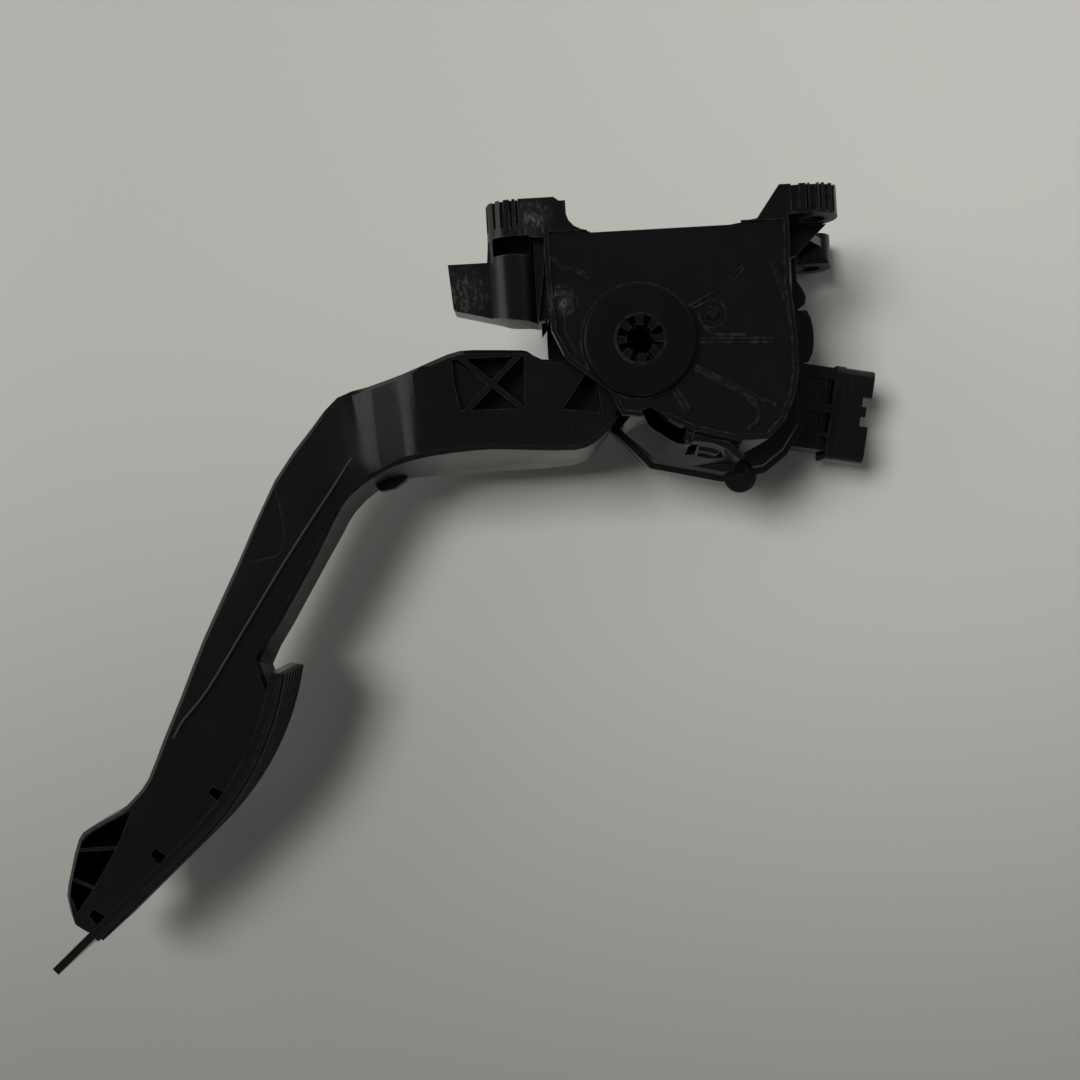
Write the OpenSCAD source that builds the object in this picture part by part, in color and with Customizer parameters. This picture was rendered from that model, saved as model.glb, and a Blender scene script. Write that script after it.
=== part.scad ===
// Electronic accelerator pedal of the hanging kind.
// +Z is up, +Y points forward to the bulkhead, and the pivot axis runs along X.
// The near side, where the pivot's round head shows, is the -X side.
// The origin is midway between the two near mounting holes, on the plane of the mounting faces.

/* [Mounting feet] */
// Distance between the two mounting holes of the near side
foot_spacing = 93; // [90:0.5:96]
// Depth of the third mounting hole behind the near two
third_foot_depth = 56; // [53:0.5:59]
// Height of the third mounting hole above the upper near one
third_foot_rise = 13; // [11:0.5:16]
// Radius of the bolt hole through each foot sleeve
bolt_hole_r = 3.3; // [3.1:0.05:3.5]
// Wall of a foot sleeve
sleeve_wall = 1.2; // [1:0.1:1.5]
// Radius of the fluted boss round each sleeve
foot_boss_r = 7.2; // [6.8:0.1:7.5]
// Thickness of the lower near foot and of the third foot along the bolt
foot_depth = 11; // [10:0.5:12]
// Thickness of the upper near foot along the bolt
upper_foot_depth = 9; // [8.5:0.5:10]
// Depth of the coring slots in the feet
flute_depth = 1.5; // [1:0.1:1.8]

/* [Housing] */
// Distance from the near feet's hole axis to the housing's near face
near_reach = 7.5; // [7.5:0.1:8.5]
// Wall thickness of the moulded housing
wall = 2.5; // [2:0.1:3]
// Depth of the sunken field on the near face
field_depth = 1.1; // [0.6:0.1:1.4]
// Width of the raised rim round that field
rim_w = 1.5; // [1:0.1:2.2]
// Inner depth of the housing between its two side walls
bay_depth = 38.5; // [37.5:0.5:40]
// Depth of the sloping skirt before the parting flange
skirt_depth = 24; // [21:0.5:26]
// Width by which the parting flange stands out
flange_out = 1.8; // [1:0.1:2.4]
// Thickness of the parting flange
flange_t = 3.2; // [2.5:0.1:4]
// Height of the stiffening ribs on the near face
face_rib_h = 0.8; // [0.4:0.1:1]
// Thickness of each of those ribs
face_rib_t = 0.55; // [0.4:0.05:0.8]

/* [Pivot] */
// Pivot axis forward position, negative is towards the driver
pivot_y = -44.5; // [-45.5:0.5:-43.5]
// Pivot axis height
pivot_z = -9.5; // [-10.5:0.5:-8.5]
// Radius of the axle's round head
head_r = 17; // [16:0.5:17.5]
// Thickness of the axle's round head
head_t = 3; // [2.4:0.1:3.6]
// Radius of the axle's journal
journal_r = 10; // [9.5:0.1:10.3]
// Radius of the splined socket in the axle
socket_r = 7.1; // [6.6:0.1:7.6]
// Depth of the recesses between the socket's splines
socket_depth = 5; // [3:0.5:8]
// Radius of the free hole between the socket's splines
socket_core_r = 4.2; // [3.6:0.1:4.8]
// Number of splines in the socket
spline_count = 8; // [6:1:10]
// Running clearance on the radius
running_gap = 0.05; // [0.03:0.01:0.09]
// Free gap between pieces that pass each other
free_gap = 0.3; // [0.25:0.05:0.4]
// Angle from idle to full travel
travel_deg = 11; // [9:0.5:11]

/* [Pedal arm] */
// Radius of the arm's drum round the pivot
drum_r = 17; // [16.5:0.1:17.4]
// Side depth of the arm below its bend
stem_depth = 19; // [17:0.5:22]
// Depth of the cored pockets in the arm
pocket_depth = 10; // [6:0.5:13]
// Thickness of the crossed ribs in the side pocket
cross_rib_t = 1.7; // [1.2:0.1:2.4]

/* [Foot pad] */
// Width of the foot plate
pad_w = 28; // [24:1:36]
// Thickness of the foot plate
plate_t = 2.6; // [2:0.1:3.2]
// Thickness of the rubber cover
rubber_t = 2.2; // [1.6:0.1:3]
// Radius of the plate's upper bend
pad_bend_r = 88; // [84:1:92]
// Length of the straight part of the plate
pad_straight = 60; // [56:1:64]
// Number of lengthwise ribs on the rubber cover
pad_rib_count = 7; // [5:1:9]

/* [Return springs] */
// Mean coil radius of the outer spring
outer_coil_r = 5.7; // [5.3:0.1:5.9]
// Wire diameter of the outer spring
outer_wire = 1.3; // [1.1:0.1:1.5]
// Mean coil radius of the inner spring
inner_coil_r = 3.3; // [3:0.1:3.5]
// Wire diameter of the inner spring
inner_wire = 0.9; // [0.7:0.1:1]
// Number of turns of the outer spring
outer_turns = 6; // [5:1:7]
// Number of turns of the inner spring
inner_turns = 8; // [7:1:9]

/* [Hysteresis lever] */
// Lever pin forward position
lever_pin_y = -37.5; // [-38:0.5:-37]
// Lever pin height
lever_pin_z = 13; // [12.5:0.5:14]
// Radius of the lever pin
lever_pin_r = 2; // [1.8:0.1:2.2]
// Width of the lever along the pivot axis
lever_w = 24; // [20:0.5:28]

/* [Sensor side] */
// Depth of the sensor cover behind the housing
cover_depth = 14; // [13:0.5:16]
// Wall of the sensor cover
cover_wall = 1.8; // [1.5:0.1:2.2]
// Thickness of the circuit board
board_t = 1.6; // [1:0.1:2]
// Length of the connector shroud along its mating direction
shroud_len = 22; // [20:0.5:24]
// Width of the connector shroud across the row of terminals
shroud_w = 32; // [30:0.5:34]
// Rounding of the shroud's long edges
shroud_round = 3; // [1.5:0.5:4]
// Depth of the connector shroud
shroud_d = 14; // [13:0.5:15]
// Wall of the connector shroud
shroud_wall = 1.6; // [1.2:0.1:2]
// Tilt of the mating direction from upright, towards the driver
shroud_tilt = 11.5; // [9:0.5:14]
// Number of terminals
terminal_count = 6; // [4:1:6]

/* [Hidden] */
$fn = 48;
pivot = [pivot_y, pivot_z];
foot_z = foot_spacing / 2;
third_foot_z = foot_z + third_foot_rise;
sleeve_r = bolt_hole_r + sleeve_wall;
near_x = -near_reach;
wall_x = near_x + wall;
bay_x = wall_x + bay_depth;
back_x = bay_x + wall;
groove_x = near_x + skirt_depth;
groove_w = 1.2;
flange_x = groove_x + groove_w;
shell_x = flange_x + flange_t;
roof_y = -foot_depth;
hub_room_near = 2;
hub_room_far = 3.5;
hub_x = wall_x + hub_room_near;
hub_end_x = bay_x - hub_room_far;
stem_x = hub_end_x - stem_depth;
bush_wall = 1.5;
hub_bore_r = journal_r + running_gap + bush_wall;
bush_len = 9;
spring_x = (hub_x + hub_end_x) / 2;
spring_y = pivot_y + 19.5;
spring_low_z = pivot_z + 4.5;
spring_high_z = lever_pin_z + 2;
cup_t = 1.5;
lining_t = 2;
lining_r = drum_r + free_gap;
lever_x = spring_x - lever_w / 2;
field_x = near_x + field_depth;
lever_pin = [lever_pin_y, lever_pin_z];
stop_z = pivot_z - 5 - free_gap;
stop_t = 2.4;
stop_x = spring_x - 8;
stop_w = 16;
black = "#1c1d1f";
dark = "#26272a";
steel = "#a9adb2";

// Laying profiles out: a profile is drawn as [forward, up] and extruded along the pivot axis.

module across(x0, x1) {
    translate([x0, 0, 0]) rotate([90, 0, 90]) linear_extrude(x1 - x0) children();
}

module rod_x(x0, x1, at, r) {
    translate([x0, at[0], at[1]]) rotate([0, 90, 0]) cylinder(h = x1 - x0, r = r);
}

module ring_x(x0, x1, at, inner, outer) {
    difference() {
        rod_x(x0, x1, at, outer);
        rod_x(x0 - 1, x1 + 1, at, inner);
    }
}

module rod_y(x, z, y0, y1, r) {
    translate([x, y1, z]) rotate([90, 0, 0]) cylinder(h = y1 - y0, r = r);
}

module box(low, high) {
    translate(low) cube(high - low);
}

function unit(v) = v / norm(v);
function from_pivot(points) = [for (p = points) pivot + p];
function polar(r, angle) = [r * cos(angle), r * sin(angle)];

// A closed loop moved inwards by d, with as many points as before
function inset(loop, d) = [
    for (i = [0 : len(loop) - 1])
        let (n = len(loop))
        let (a = unit(loop[i] - loop[(i + n - 1) % n]))
        let (b = unit(loop[(i + 1) % n] - loop[i]))
        let (na = [-a[1], a[0]])
        let (nb = [-b[1], b[0]])
        loop[i] + (na + nb) * d / (1 + na * nb)
];

function at_depth(loop, x) = [for (p = loop) [x, p[0], p[1]]];

// A solid skinned over closed sections that all have the same number of points
module skin(sections) {
    n = len(sections[0]);
    last = len(sections) - 1;
    points = [for (s = sections) each s];
    sides = [
        for (k = [0 : last - 1])
            for (i = [0 : n - 1])
                let (a = k * n + i)
                let (b = k * n + (i + 1) % n)
                each [[a, a + n, b + n], [a, b + n, b]]
    ];
    caps = [[for (i = [0 : n - 1]) i], [for (i = [n - 1 : -1 : 0]) last * n + i]];
    polyhedron(points = points, faces = concat(caps, sides), convexity = 6);
}

// Housing outlines: the loop round the near wall and the larger one at the parting flange.
// Between them the skirt slopes, apart from the lower upper corner, where it drops down
// steeply to a shelf. share says how far each point has moved out at the shelf.

near_loop = concat(
    [[roof_y, foot_z - 9.2]],
    from_pivot([
        [15.6, 46], [0.5, 47.3], [-11.5, 47.2], [-18.9, 45.6], [-26.3, 42.2], [-31.4, 37.4],
        [-31.5, 28.4], [-27.7, 14.2], [-23.7, 7.2], [-22, -6.5], [-14.6, -9.9], [-4.6, -22.2],
        [4.5, -26.2], [19.7, -27],
    ]),
    [[roof_y, pivot_z - 27]]
);
far_loop = concat(
    [[roof_y, foot_z - 3.5]],
    from_pivot([
        [15.6, 52.5], [0.5, 52.5], [-15, 52.5], [-26, 52], [-34, 46.5], [-38.8, 39.8],
        [-40.8, 26.5], [-38.4, 17], [-35.4, 4.6], [-26.6, -3.2], [-19, -11], [-5.4, -21],
        [3.1, -27], [19.7, -27],
    ]),
    [[roof_y, pivot_z - 27]]
);
share = [1, 1, 0.8, 0.35, 0.12, 0.1, 0.12, 0.7, 1, 1, 1, 1, 1, 1, 1, 1];
shelf_t = 2.6;
shelf_x = groove_x - shelf_t;
shelf_loop = skirt_loop(shelf_x, share);
rim_x = shelf_x + 0.2;
rim_loop = skirt_loop(rim_x, [for (i = share) 1]);

// Skirt outline at a depth, with the share of its full slope that each point has
function skirt_loop(x, shares) = [
    for (i = [0 : len(near_loop) - 1])
        near_loop[i] + (far_loop[i] - near_loop[i]) * shares[i] * (x - wall_x) / (groove_x - wall_x)
];
cover_boss_points = from_pivot([[-35.5, 31], [4.5, 46.8], [20, 46.8], [21, -29]]);
cover_boss_r = 5.4;
cover_screw_r = 1.6;
cover_screw_len = 12;
flange_ear = pivot + [-41, 32.5];

module near_wall_shape() {
    polygon(near_loop);
    polygon([
        [0, -foot_z], [roof_y, -foot_z], [roof_y - 1, pivot_z - 27], [roof_y - 1, 24 - foot_z],
        [roof_y + 0.3, 24 - foot_z], [-10.1, 21.4 - foot_z], [-9, 19.2 - foot_z], [-7.3, 17.7 - foot_z],
        [-5, 16.9 - foot_z], [-2.7, 16.9 - foot_z], [0, 13.5 - foot_z],
    ]);
    polygon([
        [roof_y - 1, foot_z - 27], [roof_y, foot_z - 27], [roof_y + 1.2, foot_z - 18.8],
        [0, foot_z - 11.7], [0, foot_z], [-upper_foot_depth, foot_z],
        [-upper_foot_depth, foot_z - 9.4], [roof_y - 8, foot_z - 9.4],
    ]);
}

// Sunken field of the near face: a raised rim runs round it except along the straight upper edge
module field_shape() {
    inner = inset(near_loop, rim_w);
    last = len(inner) - 1;
    difference() {
        polygon([
            for (i = [0 : last])
                i == 0 || i == last ? [roof_y + 0.5, inner[i][1]] : inner[i]
        ]);
        translate(pivot) circle(r = head_r + 0.6);
    }
}

// A thin rib along a line of points, raised from the sunken field
module face_line(points, t = face_rib_t) {
    x0 = field_x - face_rib_h;
    x1 = wall_x - 0.2;
    for (i = [1 : len(points) - 1]) bar(points[i - 1], points[i], t, x0, x1);
    for (i = [1 : 1 : len(points) - 2]) rod_x(x0, x1, points[i], t / 2);
}

// Two such ribs side by side, as along a moulding's flow lines
module twin_line(a, b, gap) {
    d = unit(b - a);
    for (side = [-gap / 2, gap / 2])
        face_line([a + [-d[1], d[0]] * side, b + [-d[1], d[0]] * side]);
}

module face_ribs() {
    twin_line(pivot + [-0.9, head_r + 0.4], pivot + [-2, 39.8], 1.1);
    face_line(from_pivot([[0.7, 21.8], [0, 31.9]]));
    face_line(from_pivot([[-8.2, 16.4], [-19.6, 36.3], [-21.5, 40]]));
    face_line(from_pivot([[-9.2, 15.8], [-19.8, 34.4]]));
    twin_line(pivot + [-15.3, 9.8], pivot + [-21.4, 13.4], 1.3);
    across(field_x - face_rib_h, wall_x - 0.2) ring_sector(head_r + 0.7, head_r + 0.7 + face_rib_t, 122, 144);
    // Lines round the lever pin's recess
    face_line(from_pivot([[9.6, 15.6], [13.4, 23.1]]));
    face_line(from_pivot([[8.7, 16.2], [10.2, 19.6]]));
    face_line(from_pivot([[6.3, 18.5], [3.9, 19.2], [1.3, 21.5]]));
    // Ridge along the upper edge, the bow below it and the bead near the lower corner
    face_line(from_pivot([[21.4, 41.4], [7.2, 45.4]]), 1.1);
    face_line(from_pivot([[-19.3, 31.5], [-21.3, 34.1], [-23.7, 34.7], [-26.4, 33.8], [-28.1, 31.3]]));
    face_line(from_pivot([
        [27.1, -25.1], [24.9, -23.5], [23, -21.2], [22.5, -18.2], [21.2, -15.8], [19.5, -13.8],
    ]), 0.9);
    face_line(from_pivot([[18, -23.8], [17, -22.1]]), 0.9);
    face_line(from_pivot([[15.1, -24.9], [15.4, -21.3], [13.3, -19.6], [9.6, -19.4]]), 0.9);
}

// Cuts of the near face: bevel along the lower edge, grooves, and the slots beside the skirt's clip
module face_cuts() {
    translate([0, 0, pivot_z + 15]) linear_extrude(26.5)
        polygon([
            [near_x - 1, pivot_y - 26.6], [near_x, pivot_y - 28.2], [wall_x, pivot_y - 31.6],
            [wall_x, pivot_y - 33], [near_x - 1, pivot_y - 33],
        ]);
    across(near_x - 1, wall_x - 0.6) polygon(from_pivot([
        [14.5, -24.6], [14.3, -22.4], [9, -22.2], [4, -22.2], [-2.6, -19], [-4.2, -20.2], [3.4, -24.4],
    ]));
    bar(pivot + [14.4, -18.6], pivot + [12, -18.2], 0.8, near_x, wall_x - 0.6);
    bar(pivot + [17, 28.7], pivot + [20.4, 32.2], 0.9, near_x, field_x + 0.7);
    across(near_x - 1, wall_x + 13) polygon(from_pivot([
        [-21, -0.8], [-20, 2], [-21.2, 4.6], [-24.2, 7.6], [-26.6, 11.2], [-26.7, 13.2], [-29.4, 12.5],
        [-31.2, 13.4], [-30.4, 10.5], [-29.1, 8.4], [-26, 4], [-23, 0.6],
    ]));
    across(near_x - 1, wall_x + 15)
        polygon(from_pivot([[-30.9, 14.6], [-31.3, 17], [-34.1, 16.6], [-33.9, 13.8]]));
    // Hollow under the curved shoulder, and the bowl over the flange's ear
    across(near_x - 1, wall_x + 9.5) polygon(from_pivot([
        [-31.9, 17.6], [-32.6, 21.5], [-33.8, 24.4], [-35, 23.2], [-34, 20.5], [-33.6, 17.6],
    ]));
    across(near_x - 1, wall_x + 13.5) polygon(from_pivot([
        [-33.6, 17.6], [-34, 20.5], [-35, 23.2], [-33.8, 24.4], [-37, 27.6], [-38, 26.5], [-35.6, 21.3],
        [-34.6, 17.6],
    ]));
    rod_x(near_x - 1, flange_x, flange_ear + [1.8, 0.5], 3);
    rod_x(near_x - 1, shell_x - 1.2, flange_ear + [1.8, 0.5], 1.6);
}

// Curved shoulder and block that stand out of the skirt
module skirt_shoulders() {
    across(wall_x + 1.5, wall_x + 12) polygon(from_pivot([
        [-27.4, 15.1], [-28.9, 20.8], [-30.8, 25], [-36.2, 30.4], [-37.3, 28.8], [-33.4, 24.7], [-31.6, 20.8],
        [-30.7, 15.2],
    ]));
    across(wall_x + 1, wall_x + 13)
        polygon(from_pivot([[-25.8, 12.3], [-25.7, 15.1], [-31.8, 14.7], [-31.6, 12.6]]));
}

// Coring slots of a near foot, each [offset outwards from the bolt, width]
upper_foot_slots = [[-7, 2.4], [-3.4, 0.6], [-1.4, 2.2], [0.7, 0.7], [2.7, 1.4], [5, 0.8]];
lower_foot_slots = [[-2.3, 0.9], [-0.5, 0.8], [2.3, 1.2], [4.6, 0.9]];
function boss_face(offset) = offset > 0 ? -sqrt(pow(foot_boss_r, 2) - pow(offset, 2)) : near_x;

module foot_slots(z, side, slots) {
    for (s = slots)
        box([near_x - 1, -foot_depth + 2.7, z + side * s[0] - s[1] / 2],
            [boss_face(s[0]) + flute_depth, 1, z + side * s[0] + s[1] / 2]);
    for (k = [0 : 2])
        translate([0, 0, z]) rotate([0, side * (74 + 36 * k), 0])
            box([-foot_boss_r - 1, -foot_depth + 2.7, -0.8], [-foot_boss_r + flute_depth, 1, 0.8]);
}

module feet_and_lobe() {
    rod_y(0, -foot_z, roof_y, 0, foot_boss_r);
    rod_y(0, foot_z, -upper_foot_depth, 0, foot_boss_r);
    // Blocks that tie the two near feet to the wall
    box([near_x, roof_y, -foot_z], [foot_boss_r, -1.2, 17 - foot_z]);
    across(near_x, foot_boss_r) polygon([
        [roof_y - 1, foot_z - 20], [roof_y + 1.2, foot_z - 18.8], [-1.2, foot_z - 11], [-1.2, foot_z],
        [-upper_foot_depth, foot_z], [-upper_foot_depth, foot_z - 9.4], [roof_y - 8, foot_z - 9.4],
    ]);
    // Web behind the upper foot
    across(foot_web_x, foot_boss_r + 0.8) polygon([
        [-upper_foot_depth, foot_z - 9.4], [-upper_foot_depth, foot_z + 5.6], [roof_y - 7.4, foot_z - 4.6],
        [roof_y - 9, foot_z - 9.4],
    ]);
    // Column below the lower foot and the full-travel stop beside it, ended on the same slope
    difference() {
        rod_y(0, -foot_z, pivot_y + 7, roof_y, foot_boss_r);
        across(near_x - 1, foot_boss_r + 1) polygon(concat(stop_slope(), [
            [pivot_y + 7.6, pivot_z - 20], [pivot_y, pivot_z - 20], [pivot_y, -foot_z - 22],
            [pivot_y + 14.6, -foot_z - 22],
        ]));
    }
    across(-2.5, stop_end_x) polygon(stop_shape());
    box([column_web_x, pivot_y + 9, -foot_z], [column_web_x + 4, roof_y, pivot_z - 26]);
}

foot_web_x = foot_boss_r - 1.4;
column_web_x = 0;

stop_end_x = foot_boss_r - 1.2;
function stop_slope() = [
    [pivot_y + 12.9, -foot_z - 18.2], [pivot_y + 8.6, -foot_z - 1.7], [pivot_y + 7.6, pivot_z - 30],
];
function stop_shape() = concat(
    [
        [roof_y, -foot_z - 7], [roof_y - 6.4, -foot_z - 7.6], [roof_y - 6.4, -foot_z - 19.6],
        [pivot_y + 13.8, -foot_z - 18.6],
    ],
    stop_slope(),
    [[roof_y, pivot_z - 26]]
);

module third_foot() {
    x = third_foot_depth;
    z = third_foot_z;
    rod_y(x, z, roof_y, 0, foot_boss_r);
    // Flat pointed front of the boss
    across(x - foot_boss_r - 0.6, x) polygon([
        [roof_y, z + 4.8], [roof_y, z - 6.1], [-9.6, z - 6.1], [-4.9, z + 0.9],
    ]);
    // Tapered bracket between the housing's far wall and the third foot
    translate([0, -2, 0]) rotate([90, 0, 0]) linear_extrude(3) polygon([
        [shell_x, foot_z - 18], [x + foot_boss_r - 0.4, z - 6], [x + foot_boss_r, z],
        [x - foot_boss_r + 1, z + 3], [shell_x, foot_z - 3.5],
    ]);
    across(x - 1.2, x + 1.2)
        polygon([[-2, z - 6], [roof_y, z - 6], [roof_y - 1, foot_z - 6], [-2, foot_z - 16]]);
    translate([0, -2, 0]) rotate([90, 0, 0])
        linear_extrude(foot_depth - 1) polygon([[back_x - 4, foot_z - 8], [x - 3, z - 6], [x - 5, z - 3],
            [back_x - 4, foot_z - 4]]);
}

module housing_solid() {
    across(near_x, wall_x + 0.5) near_wall_shape();
    skin([
        at_depth(near_loop, wall_x), at_depth(shelf_loop, shelf_x), at_depth(rim_loop, rim_x),
        at_depth(far_loop, groove_x),
    ]);
    skirt_shoulders();
    across(groove_x - 0.1, back_x) polygon(inset(far_loop, 0.9));
    across(flange_x, shell_x) polygon(inset(far_loop, -flange_out));
    across(shell_x, back_x) polygon(far_loop);
    rod_x(flange_x, shell_x, flange_ear, cover_boss_r);
    flange_lugs();
    housing_bosses();
    feet_and_lobe();
    third_foot();
}

// Two lugs on the upper side of the flange, the lower one long and shallow
module flange_lugs() {
    across(flange_x, shell_x + 2) polygon(from_pivot([
        [22.6, 50], [22, 53.6], [18.7, 55.8], [15.7, 57.1], [13.2, 56.5], [11.9, 54.6], [11.9, 50],
    ]));
    across(flange_x + 0.6, shell_x) polygon(from_pivot([
        [11.4, 50], [11.4, 57.2], [9.2, 58.3], [5.2, 59], [0.3, 58.9], [-2.9, 58.2], [-5.2, 57], [-5.8, 50],
    ]));
}

module housing_bosses() {
    for (p = cover_boss_points) rod_x(flange_x, back_x, p, cover_boss_r);
}

module housing_bay() {
    skin([at_depth(inset(near_loop, wall), wall_x), at_depth(inset(shelf_loop, wall), shelf_x)]);
    across(shelf_x - 0.01, groove_x + 0.01) polygon(inset(shelf_loop, wall));
    difference() {
        across(groove_x, bay_x) polygon(inset(far_loop, wall + 0.9));
        housing_bosses();
    }
    across(wall_x, bay_x) polygon(from_pivot([
        [11, -26.2], [11, -10], [-10, 3], [-17.3, 1], [-25, -6.5], [-29.5, -11.2], [-33, -15.6], [-45, -30],
        [-45, -36], [-2, -36],
    ]));
}

module housing() color(black) {
    difference() {
        housing_solid();
        housing_bay();
        across(near_x - 1, field_x) field_shape();
        face_cuts();
        foot_slots(-foot_z, -1, lower_foot_slots);
        foot_slots(foot_z, 1, upper_foot_slots);
        // Sleeve seats, and the pocket for the bolt head under the lower foot
        for (side = [-1, 1]) rod_y(0, side * foot_z, roof_y - 1, 1, sleeve_r + running_gap);
        rod_y(third_foot_depth, third_foot_z, roof_y - 2, 1, sleeve_r + running_gap);
        rod_y(0, -foot_z, roof_y - 5.4, roof_y, 5.6);
        box([near_x - 1, roof_y - 5.4, -foot_z - 5.6], [0, roof_y, -foot_z + 5.6]);
        box([near_x - 1, roof_y - 10, foot_z - 6.8], [foot_web_x, -upper_foot_depth, foot_z + 9]);
        // Bores for the axle and the lever pin
        rod_x(near_x - 1, wall_x + 3, pivot, journal_r + running_gap);
        rod_x(bay_x - 3, back_x + 1, pivot, journal_r - 2 + running_gap);
        rod_x(near_x - 1, wall_x - 0.9, lever_pin, 4.1);
        rod_x(near_x - 1, wall_x + 9, lever_pin, lever_pin_r + running_gap);
        rod_x(bay_x - 3, back_x - 1, lever_pin, lever_pin_r + running_gap);
        for (p = cover_boss_points)
            rod_x(back_x - cover_screw_len + 3, back_x + 1, p, cover_screw_r);
    }
    face_ribs();
    // Thrust rings that locate the arm's hub, and the rib that carries the idle stop
    ring_x(wall_x - 0.2, hub_x - free_gap, pivot, journal_r + running_gap, journal_r + 3.5);
    ring_x(hub_end_x + free_gap, bay_x + 0.2, pivot, journal_r + running_gap, journal_r + 3.5);
    ring_x(wall_x - 0.2, lever_x - free_gap, lever_pin, lever_pin_r + running_gap, 5.4);
    ring_x(lever_x + lever_w + free_gap, bay_x + 0.2, lever_pin, lever_pin_r + running_gap, 4.2);
    box([wall_x - 0.5, pivot_y + 17.5, stop_z - 6], [stop_x + stop_w, roof_y - wall + 0.5, stop_z - stop_t]);
    box([wall_x - 0.5, pivot_y + 17.5, stop_z - 14], [wall_x + 2, roof_y - wall + 0.5, stop_z - 5]);
}

// Fixed pieces inside and on the housing

module foot_sleeves() color(steel) {
    for (at = [
        [0, -foot_z, foot_depth], [0, foot_z, upper_foot_depth], [third_foot_depth, third_foot_z, foot_depth],
    ])
        difference() {
            rod_y(at[0], at[1], -at[2], 0, sleeve_r);
            rod_y(at[0], at[1], -at[2] - 1, 1, bolt_hole_r);
        }
}

head_round = 1.2;
socket_lip = 0.6;
spline_half_angle = 360 / spline_count / 4;

module pivot_axle() color(dark) {
    difference() {
        translate([near_x, pivot_y, pivot_z]) rotate([0, -90, 0]) rotate_extrude($fn = 96) polygon(concat(
            [[0, -near_x - back_x + 0.4], [journal_r - 2, -near_x - back_x + 0.4],
                [journal_r - 2, -near_x - bay_x + 0.3], [journal_r, -near_x - bay_x + 0.3],
                [journal_r, 0], [head_r, 0], [head_r, head_t - head_round]],
            [for (a = [15 : 15 : 90]) [head_r - head_round, head_t - head_round] + polar(head_round, a)],
            [[socket_r + socket_lip, head_t], [socket_r + socket_lip, head_t + 0.3], [socket_r, head_t + 0.3],
                [socket_r, head_t - socket_depth], [0, head_t - socket_depth]]
        ));
        rod_x(near_x - head_t + socket_depth - 1, back_x - 6, pivot, socket_core_r);
    }
    across(near_x - head_t + 0.3, near_x - head_t + socket_depth + 0.1)
        for (k = [0 : spline_count - 1])
            let (a = k * 360 / spline_count)
            ring_sector(socket_core_r, socket_r + 0.3, a - spline_half_angle, a + spline_half_angle);
}

// Part of a ring round the pivot, between two angles from the forward direction
module ring_sector(inner, outer, from, to) {
    middle = (from + to) / 2;
    translate(pivot) difference() {
        intersection() {
            circle(r = outer, $fn = 96);
            polygon([[0, 0], polar(3 * outer, from), polar(3 * outer, middle), polar(3 * outer, to)]);
        }
        circle(r = inner, $fn = 96);
    }
}

module lever_shape() {
    translate(lever_pin) circle(r = 4.6);
    ring_sector(lining_r + lining_t, lining_r + lining_t + 3.6, 66, 136);
    difference() {
        polygon([
            lever_pin + [-2, 4], lever_pin + [2, -3.6], lever_pin + [5.5, 0.5], [spring_y + 1, spring_high_z],
            [spring_y + 8, spring_high_z], [spring_y + 8, spring_high_z + 3], [spring_y, spring_high_z + 4.6],
        ]);
        translate(pivot) circle(r = lining_r + lining_t, $fn = 96);
    }
}

module hysteresis_lever() color("#3a3c40") {
    difference() {
        across(lever_x, lever_x + lever_w) lever_shape();
        rod_x(lever_x - 1, lever_x + lever_w + 1, lever_pin, lever_pin_r + running_gap);
        // Flat bed for the springs' upper ends
        translate([spring_x, spring_y, spring_low_z]) cylinder(h = spring_high_z - spring_low_z, r = 8);
    }
    translate([spring_x, spring_y, spring_high_z - 2]) cylinder(h = 2.1, r = inner_coil_r - inner_wire / 2 - 0.4);
}

pin_chamfer = 0.5;

module lever_pin_rod() color(steel) {
    start = near_x + 0.7;
    rod_x(start + pin_chamfer, back_x - 1.2, lever_pin, lever_pin_r);
    translate([start, lever_pin[0], lever_pin[1]]) rotate([0, 90, 0])
        cylinder(h = pin_chamfer, r1 = lever_pin_r - pin_chamfer, r2 = lever_pin_r);
}

module friction_lining() color("#6a5a45") {
    across(lever_x + 1, lever_x + lever_w - 1) ring_sector(lining_r, lining_r + lining_t, 88, 134);
}

module idle_stop_pad() color("#303030") {
    difference() {
        box([stop_x, pivot_y + 18, stop_z - stop_t], [stop_x + stop_w, roof_y - wall - 3, stop_z]);
        box([stop_x + 4, pivot_y + 17, stop_z - 0.8], [stop_x + stop_w - 4, roof_y, stop_z + 1]);
    }
}

// Pedal arm: stations from hub to tip, each with the upper edge, the lower near edge,
// the lower far edge, the near depth, and the place and height of the crease along the near face

bend_start = 11;
bend_end = 48.5;
pad_top = pivot + [-94.8, -120];
bend_len = pad_bend_r * (bend_end - bend_start) * PI / 180;
pad_len = bend_len + pad_straight;

// Point at the distance s along the inner face of the foot plate, moved out by d
function pad_point(s, d) =
    let (turned = bend_start + min(s, bend_len) / pad_bend_r * 180 / PI)
    let (run = max(0, s - bend_len))
    pad_top
        + pad_bend_r * [sin(bend_start) - sin(turned), cos(turned) - cos(bend_start)]
        + run * [-cos(turned), -sin(turned)]
        + d * [-sin(turned), cos(turned)];

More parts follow.
